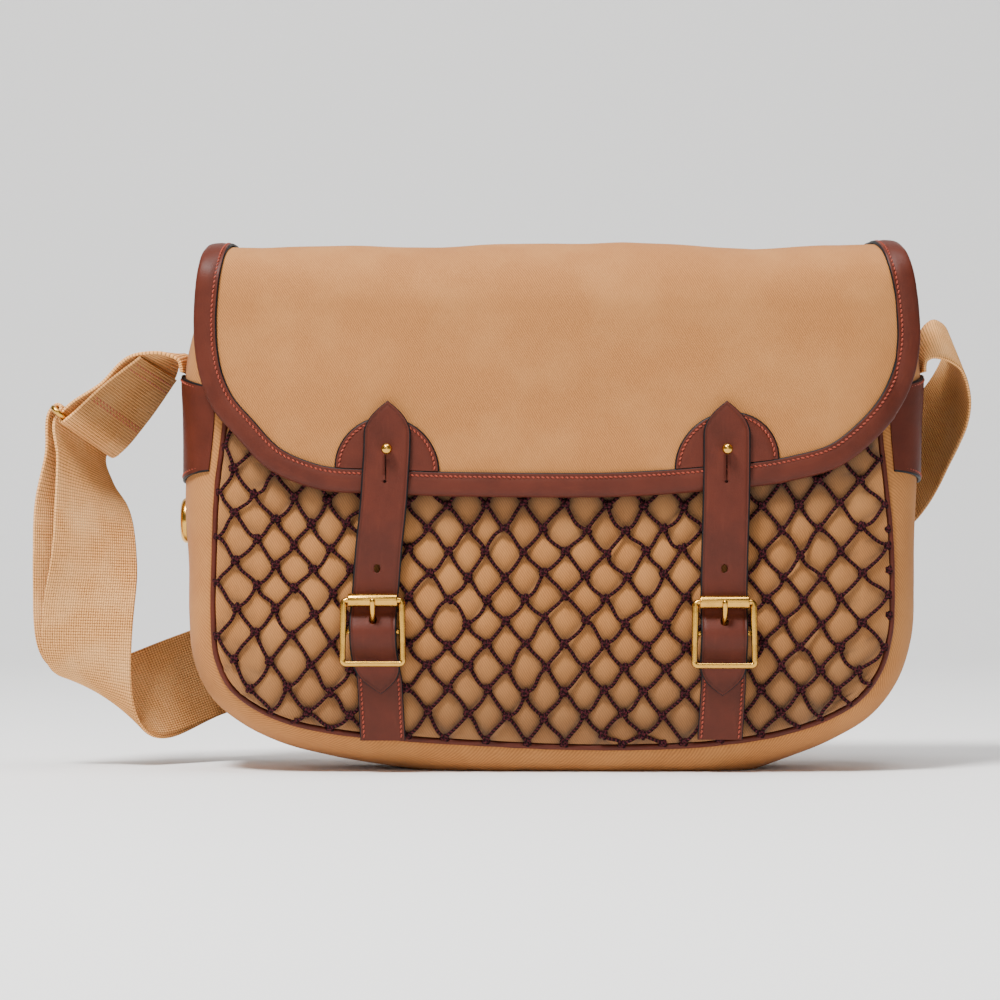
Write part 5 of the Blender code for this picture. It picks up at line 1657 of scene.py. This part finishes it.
@dataclass
class SideFittings:
    """The leather patches on the gusset's sides, where the sling is sewn down, and the vent eyelet."""

    finishes: Palette
    shell: DrillBody
    top: float = 216.4
    foot: float = 155.0
    curve: float = 8.0
    wall: float = 2.0
    lift: float = 0.5
    eyelet_z: float = 136.5

    def surface(self, side: Side, across: Grid, z: Grid, lift: float) -> Grid:
        """A point over one side's gusset at a place across and a height."""
        seam, normal = self.shell.column(side, z)
        return self.shell.gusset_point(seam, normal, across, lift)

    def patch(self, side: Side) -> None:
        """A patch whose top and foot are arcs, black where they are cut, with two rows of stitches."""
        across = np.concatenate([[-0.972, -0.97, -0.965], np.linspace(-0.955, 0.91, 31),
                                 [0.922, 0.928, 0.93]])
        near = np.array([0.0, 0.12, 0.3, 0.7, 1.3, 1.9, 2.3, 2.7, 3.2, 4.2])
        top = self.top - self.curve * across**2
        foot = self.foot + self.curve * across**2
        parts = np.linspace(0, 1, 26)[:, None]
        z = np.concatenate([top - near[:, None], (top - 4.2) * (1 - parts) + (foot + 4.2) * parts,
                            foot + near[::-1, None]])
        z = np.delete(z, [10, 35], axis=0)
        wide = np.broadcast_to(across[None, :], z.shape)
        grid = self.surface(side, wide, z, self.lift + self.wall / 2)
        if side is Side.RIGHT:
            grid, wide, z = grid[:, ::-1], wide[:, ::-1], z[:, ::-1]
        from_edge = np.minimum(self.top - self.curve * wide**2 - z, z - self.foot - self.curve * wide**2)
        line = bell(from_edge - 2.3, 0.5)
        shape = Shape()
        cloth = np.stack([wide * 44.0, z], axis=-1)
        slab(shape, grid.swapaxes(0, 1)[::-1], self.wall, 0.6, lift=-0.3 * line.T[::-1],
             cloth=cloth.swapaxes(0, 1)[::-1], crease=0.5 * line.T[::-1], painted=True)
        settle(shape.make(f"side_patch_{side.value}_leather", self.finishes.leather), "leather",
               f"side_patch_{side.value}")
        threads = Shape()
        place_across = np.linspace(-0.935, 0.88, 60)
        for height in (self.top - 2.3 - self.curve * place_across**2,
                       self.foot + 2.3 + self.curve * place_across**2):
            row = self.surface(side, place_across, height, self.lift + self.wall - 0.12)
            out = unit(row - self.surface(side, place_across, height, self.lift))
            stitch_row(threads, row, out, LEATHER_STITCH)
        settle(threads.make(f"side_patch_{side.value}_stitches", self.finishes.thread, merge=False),
               "leather")

    def eyelet(self) -> None:
        """The vent eyelet: a domed ring turned from brass, let into the left gusset."""
        seam, _ = self.shell.column(Side.LEFT, np.array([self.eyelet_z]))
        x = seam[0, 0] - seam[0, 2] - 1.3
        angle = np.linspace(0, math.pi, 13)
        dome = np.stack([8.8 - 3.8 * np.cos(angle), 0.4 + 3.2 * np.sin(angle) ** 0.9], axis=1)
        profile = np.concatenate([[(5.1, 0.0)], dome, [(12.6, 0.0)]])
        shape = Shape()
        turned(shape, profile, np.array([x, 0.0, self.eyelet_z]), np.array([-1.0, 0.0, 0.0]), 56, True)
        settle(shape.make("vent_eyelet_brass", self.finishes.brass), "brass", "vent_eyelet")

    def build(self) -> None:
        """Builds both patches and the eyelet."""
        for side in Side:
            self.patch(side)
        self.eyelet()


# The sling. Columns of each table: x, y, z of the front edge, then of the back edge.
SHORT_STRAP = np.array([
    (-201.5, -25.4, 218.0, -201.5, 25.4, 218.0), (-202.0, -25.3, 221.4, -202.0, 25.3, 223.5),
    (-203.4, -25.2, 224.6, -202.0, 25.2, 228.6), (-210.0, -25.0, 227.6, -205.4, 25.0, 228.4),
    (-224.8, -23.0, 228.0, -209.2, 24.0, 217.2), (-246.8, -22.4, 211.2, -225.4, 20.2, 193.6),
])
FRONT_PLY = np.array([
    (-270.0, -22.6, 172.0, -243.2, 14.0, 157.0), (-270.6, -24.0, 150.0, -234.4, 11.0, 143.6),
    (-273.0, -22.4, 118.0, -228.6, 1.8, 115.0), (-279.0, -12.0, 90.0, -228.6, -8.0, 88.0),
    (-282.0, -8.0, 70.0, -231.2, -8.0, 70.0),
])
# The right end, from behind the bag to the patch. Columns: x, y, z of its back edge, which is the
# upper one behind, then of its front edge.
RIGHT_END = np.array([
    (179.0, 54.2, 177.5, 196.5, 50.6, 129.2), (187.5, 55.0, 182.0, 206.5, 47.2, 134.6),
    (195.5, 55.6, 188.0, 213.5, 41.0, 143.5), (203.0, 56.0, 197.0, 219.0, 36.5, 153.5),
    (209.5, 56.2, 205.5, 224.4, 29.0, 166.5), (215.0, 56.0, 212.5, 229.4, 23.0, 178.0),
    (219.5, 55.0, 219.0, 233.0, 16.5, 188.5), (223.5, 52.5, 227.0, 234.2, 9.5, 200.5),
    (226.0, 48.0, 235.5, 232.0, 3.0, 211.0), (225.0, 41.5, 242.5, 228.0, -3.5, 219.0),
    (220.5, 34.0, 247.2, 222.0, -10.5, 223.2), (214.4, 28.0, 248.2, 215.5, -17.0, 225.4),
    (209.2, 25.6, 243.0, 210.0, -21.5, 225.9), (206.6, 25.4, 234.2, 206.2, -24.0, 224.2),
    (205.3, 25.4, 226.0, 205.1, -25.2, 221.4), (205.0, 25.4, 218.0, 205.0, -25.4, 218.0),
])

# How far the ply behind stands from the front ply, at each of its rows. Columns: x, y.
BACK_PLY_SHIFT = np.array([(-7.0, 5.0), (-11.0, 4.0), (-10.5, 3.6), (-6.0, 4.4), (-3.6, 3.6)])

# The middle of the run behind the bag. Columns: x, y, z.
BEHIND = np.array([
    (-206.0, 34.0, 46.0), (-182.0, 46.5, 54.5), (-150.0, 53.4, 65.0), (-60.0, 54.0, 91.0),
    (40.0, 54.0, 115.0), (130.0, 53.4, 138.5), (170.0, 53.0, 149.0),
])


@dataclass
class WebbingSling:
    """The two-inch webbing sling: a short strap with a tail, a long one doubled at the left, a loop."""

    finishes: Palette
    width: float = 50.8
    wall: float = 2.0
    loop_centre: tuple[float, float, float] = (-254.4, -3.9, 183.9)
    loop_axis: tuple[float, float, float] = (0.476, 0.795, -0.378)
    loop_down: tuple[float, float, float] = (-0.733, -0.072, -0.679)
    wire: float = 1.5
    clearance: float = 0.3
    spacing: float = 7.9
    loop_half: float = 25.8
    tail_offset: float = 2.6
    turn_angle: float = math.radians(-33.5)
    turn_edge: tuple[float, float] = (-257.0, 28.5)
    turn_y: float = -8.0
    outer_turn: float = 13.0
    inner_turn: float = 9.4
    inner_step: float = 3.6
    inner_shift: float = -2.4
    outer_lift: float = 2.45
    outer_end: float = -40.0
    # Where and how strongly the webbing carries painted shade.
    tail_length: float = 50.0
    tail_shade: float = 0.42
    left_shade: float = 0.62
    right_shade: float = 0.5

    def __post_init__(self) -> None:
        """Works out the loop's three directions: along its bars, down the short strap, and bar to bar."""
        self.centre = np.array(self.loop_centre)
        self.axis = unit(np.array(self.loop_axis))
        down = np.array(self.loop_down)
        self.down = unit(down - self.axis * (down @ self.axis))
        away = np.cross(self.axis, self.down)
        self.away = away if away[2] > 0 else -away

    def across_row(self, centre: Grid) -> Grid:
        """A row of the band that lies along the loop's bars."""
        half = self.axis * self.width / 2
        return np.concatenate([centre - half, centre + half])

    def wrap(self, bar: Grid, start: Grid, over: Grid) -> list[Grid]:
        """Rows that turn half round a bar, from the start side over its far side."""
        radius = self.wire + self.clearance + self.wall / 2
        return [self.across_row(bar + radius * (start * math.cos(a) + over * math.sin(a)))
                for a in np.linspace(0, math.pi, 7)]

    def rolled_row(self, side_offset: float, along: float, y: float, radius: float) -> Grid:
        """A row of a ply where it rolls round a slanting cylinder at the lower left.

        The flat strip's part past the axis goes round the cylinder and on behind it.

        Args:
            side_offset: sideways shift of the strip.
            along: length of strip below the edge point.
            y: depth of the flat strip.
            radius: radius of the cylinder.

        Returns:
            Both edge points.
        """
        axis = np.array([math.cos(self.turn_angle), math.sin(self.turn_angle)])
        past = np.array([axis[1], -axis[0]])
        edge = np.array(self.turn_edge)
        row = []
        for half in (-self.width / 2, self.width / 2):
            flat = edge + np.array([half + side_offset, -along])
            distance = (flat - edge) @ past + radius
            on_axis = edge + axis * ((flat - edge) @ axis) - past * radius
            angle = float(np.clip(distance / radius, 0, math.pi))
            beyond = max(distance - math.pi * radius, 0.0)
            reach = min(distance, 0.0) + radius * math.sin(angle) - beyond
            place = on_axis + past * reach
            row.extend((place[0], y + radius * (1 - math.cos(angle)), place[1]))
        return np.array(row)

    def turn(self, y: float, radius: float, side_offset: float) -> list[Grid]:
        """All rows of a ply's turn, from the front down and back."""
        return [self.rolled_row(side_offset, along, y, radius) for along in np.linspace(-26.0, 52.0, 11)]

    def behind(self, lift: float, last_x: float | None = None) -> list[Grid]:
        """Rows of the run behind the bag, standing off by lift, up to a place across."""
        ahead = unit(np.gradient(BEHIND, axis=0))
        up = unit(np.stack([-ahead[:, 2], np.zeros(len(ahead)), ahead[:, 0]], axis=1))
        out = np.cross(ahead, up)
        out *= np.sign(out[:, 1:2])
        middle = BEHIND + out * lift
        rows = np.concatenate([middle + up * self.width / 2, middle - up * self.width / 2], axis=1)
        if last_x is None:
            return list(rows)
        fine = smooth_rows(rows, 20.0)
        return list(fine[fine[:, 0] < last_x][::2])

    def short_rows(self) -> Grid:
        """Rows of the short strap: out of the patch, over to the loop, round its bar and back as the tail."""
        lower = np.tile(-self.away * self.tail_offset, 2)
        rows = list(SHORT_STRAP) + self.wrap(self.centre, self.away, self.down)
        rows.append(SHORT_STRAP[-1] + lower)
        rows.append(SHORT_STRAP[-2] + lower + np.tile(self.down * 1.0, 2))
        return np.array(rows)

    def long_rows(self) -> Grid:
        """Rows of the long strap: right patch, behind the bag, up, round the loop, down and behind again."""
        shift = np.array([(x, y, 0.0, x, y, 0.0) for x, y in BACK_PLY_SHIFT])
        rows = list(RIGHT_END[::-1]) + self.behind(0.0)[::-1]
        rows += self.turn(self.turn_y + self.inner_step, self.inner_turn, self.inner_shift)[::-1]
        rows += list((FRONT_PLY + shift)[::-1])
        rows += self.wrap(self.centre + self.away * self.spacing, self.away, -self.down)
        rows.append(self.across_row(self.centre + (self.down + self.away) * self.spacing / 2))
        rows += list(FRONT_PLY) + self.turn(self.turn_y, self.outer_turn, 0.0)
        rows += self.behind(self.outer_lift, self.outer_end)
        return np.array(rows)

    def wear_and_painted_shade(self, name: str, length: Grid, grid: Grid) -> Grid:
        """How dark the webbing is, as painted shade: on the tail, on the run behind the bag and on the right
        loop's inside.
        """
        if name.startswith("sling_short"):
            return self.tail_shade * np.clip((length - length[-1] + self.tail_length) / 6, 0, 1)[:, None]
        x, y, z = np.moveaxis(grid, -1, 0)
        left = self.left_shade * np.clip((y - 8) / 22, 0, 1) * np.clip((-90 - x) / 60, 0, 1)
        right = self.right_shade * np.clip((232 - z) / 26, 0, 1) * np.clip((y - 2) / 26, 0, 1) * (x > 100)
        return left + right

    def band(self, name: str, node: str, rows: Grid, seams: tuple[tuple[float, float], ...]) -> None:
        """Makes a stretch of webbing, with stitch lines sewn across it.

        Args:
            name: the piece's name.
            node: the solid it stands for.
            rows: both edges at each row.
            seams: for each line of stitches, its distance from the band's end and its side, 1 or -1.
        """
        fine = smooth_rows(rows, 2.2)
        fine = eased(fine, 9.0, np.clip((105 - fine[:, 2]) / 25, 0, 1)).reshape(-1, 2, 3)
        part = np.concatenate([[0.0, 0.006, 0.016, 0.035], np.linspace(0.07, 0.93, 19),
                               [0.965, 0.984, 0.994, 1.0]])
        grid = fine[:, :1] * (1 - part[None, :, None]) + fine[:, 1:] * part[None, :, None]
        middle = fine.mean(axis=1)
        length = chord_places(middle)
        normal = surface_normals(grid)
        curl = (0.6 + 0.4 * soft_noise(length, 0 * length, 90.0, 12))[:, None, None]
        cup = 0.7 * (2 * part[None, :, None] - 1) ** 2 * curl
        grid = grid + normal * (cup - 0.25) * 0.6
        cloth = np.stack(np.broadcast_arrays(part[None, :] * self.width, length[:, None]), axis=-1)
        shape = Shape()
        # Painted shade on both faces of the webbing.
        dark = np.broadcast_to(self.wear_and_painted_shade(name, length, grid), grid.shape[:2])
        slab(shape, grid, self.wall, 0.9, cloth=cloth, crease=dark, inner_painted_shade=True)
        piece = settle(shape.make(name, self.finishes.webbing, sharp=65.0), "webbing", node)
        threads = Shape()
        for distance, sign in seams:
            at = int(np.argmin(np.abs(length[-1] - distance - length)))
            row = grid[at, 2:-2] + sign * normal[at, 2:-2] * (self.wall / 2)
            stitch_row(threads, row, sign * normal[at, 2:-2], WEBBING_STITCH)
        if seams:
            settle(threads.make(f"{name}_stitches", self.finishes.thread, merge=False), "webbing")

    def loop(self) -> None:
        """The brass loop: two straight bars joined by half circles."""
        half = self.spacing / 2
        centre = self.centre + self.away * half
        angles = np.linspace(0, math.pi, 13)[:, None]
        ends = [centre + self.axis * (end * self.loop_half + half * np.cos(start + angles))
                + self.away * half * np.sin(start + angles)
                for end, start in ((1, -math.pi / 2), (-1, math.pi / 2))]
        shape = Shape()
        tube(shape, np.concatenate(ends), self.wire, np.cross(self.axis, self.away), 14, Closing.RING)
        settle(shape.make("sling_loop_brass", self.finishes.brass), "brass", "sling_loop")

    def build(self) -> None:
        """Builds the straps and the loop."""
        tail_seams = tuple((distance, side) for distance in (4.5, 8.0, 33.0, 36.5) for side in (1, -1))
        self.band("sling_short_webbing", "sling_short", self.short_rows(), tail_seams)
        self.band("sling_long_webbing", "sling_long", self.long_rows(), ())
        self.loop()


@dataclass
class Studio:
    """The photographer's room: a pale sweep, three soft lights and the camera."""

    finishes: Palette
    camera_place: tuple[float, float, float] = (-0.0273, -2.05, 0.1478)
    lens: float = 133.3

    def sweep(self) -> None:
        """A floor that curves up into a wall: flat, then a quarter circle, then upright."""
        angle = np.linspace(0, math.pi / 2, 25)
        radius = 1200.0
        profile = np.concatenate([[(-3400.0, 0.0)], np.stack([1300 + radius * np.sin(angle),
                                                              radius * (1 - np.cos(angle))], axis=1),
                                  [(1300 + radius, 3200.0)]])
        x = np.linspace(-4200, 4200, 3)
        grid = np.stack([np.broadcast_to(x[:, None], (3, len(profile))),
                         np.broadcast_to(profile[None, :, 0], (3, len(profile))),
                         np.broadcast_to(profile[None, :, 1], (3, len(profile)))], axis=-1)
        shape = Shape()
        shape.add(grid, grid_faces(3, len(profile), False, False))
        shape.make("studio_sweep", self.finishes.paper, merge=False)

    def area_light(self, name: str, place: tuple[float, float, float], target: tuple[float, float, float],
                   size: float, power: float, colour: tuple[float, float, float]) -> None:
        """Adds a square soft light that faces its target."""
        light = bpy.data.lights.new(name, "AREA")
        light.shape = "SQUARE"
        light.size = size
        light.energy = power
        light.color = colour
        lamp = bpy.data.objects.new(name, light)
        bpy.context.scene.collection.objects.link(lamp)
        lamp.location = place
        aim = Vector(target) - Vector(place)
        lamp.rotation_euler = aim.to_track_quat("-Z", "Y").to_euler()

    def build(self) -> None:
        """Builds the sweep, the lights and the camera."""
        self.sweep()
        middle = (0.0, 0.0, 0.13)
        self.area_light("key", (-0.9, -1.25, 2.5), middle, 0.7, 150.0, (1.0, 0.99, 0.97))
        self.area_light("top", (0.3, -0.2, 2.6), middle, 1.2, 45.0, (1.0, 1.0, 1.0))
        self.area_light("front", (0.3, -2.9, 0.9), middle, 1.6, 14.0, (1.0, 1.0, 1.0))
        world = bpy.data.worlds.new("studio_air")
        world.use_nodes = True
        backdrop = world.node_tree.nodes["Background"]
        backdrop.inputs["Color"].default_value = linear("#F4F3F1")
        backdrop.inputs["Strength"].default_value = 0.2
        bpy.context.scene.world = world
        lens = bpy.data.cameras.new("camera")
        lens.lens = self.lens
        lens.sensor_width = 36.0
        lens.clip_start, lens.clip_end = 0.05, 50.0
        camera = bpy.data.objects.new("camera", lens)
        bpy.context.scene.collection.objects.link(camera)
        camera.location = self.camera_place
        camera.rotation_euler = (math.pi / 2, 0.0, 0.0)
        bpy.context.scene.camera = camera


def main() -> None:
    """Builds the bag, assembly by assembly, and the room."""
    logging.basicConfig(level=logging.INFO, format="%(message)s")
    finishes = mix_palette()
    Studio(finishes).build()
    plan = NetPlan()
    shell = DrillBody(finishes, plan)
    assemblies = [
        shell, KnottedNet(finishes, shell, plan), BoundFlap(finishes, shell),
        ClosureStrap(finishes, shell, Side.LEFT, LEFT_STRAP, (-95.6, 77.0), (-90.6, 19.5)),
        ClosureStrap(finishes, shell, Side.RIGHT, RIGHT_STRAP, (93.2, 76.0), (91.6, 20.0)),
        SideFittings(finishes, shell), WebbingSling(finishes),
    ]
    for assembly in assemblies:
        assembly.build()
        LOG.info("%s is built", type(assembly).__name__)


if __name__ == "__main__":
    main()
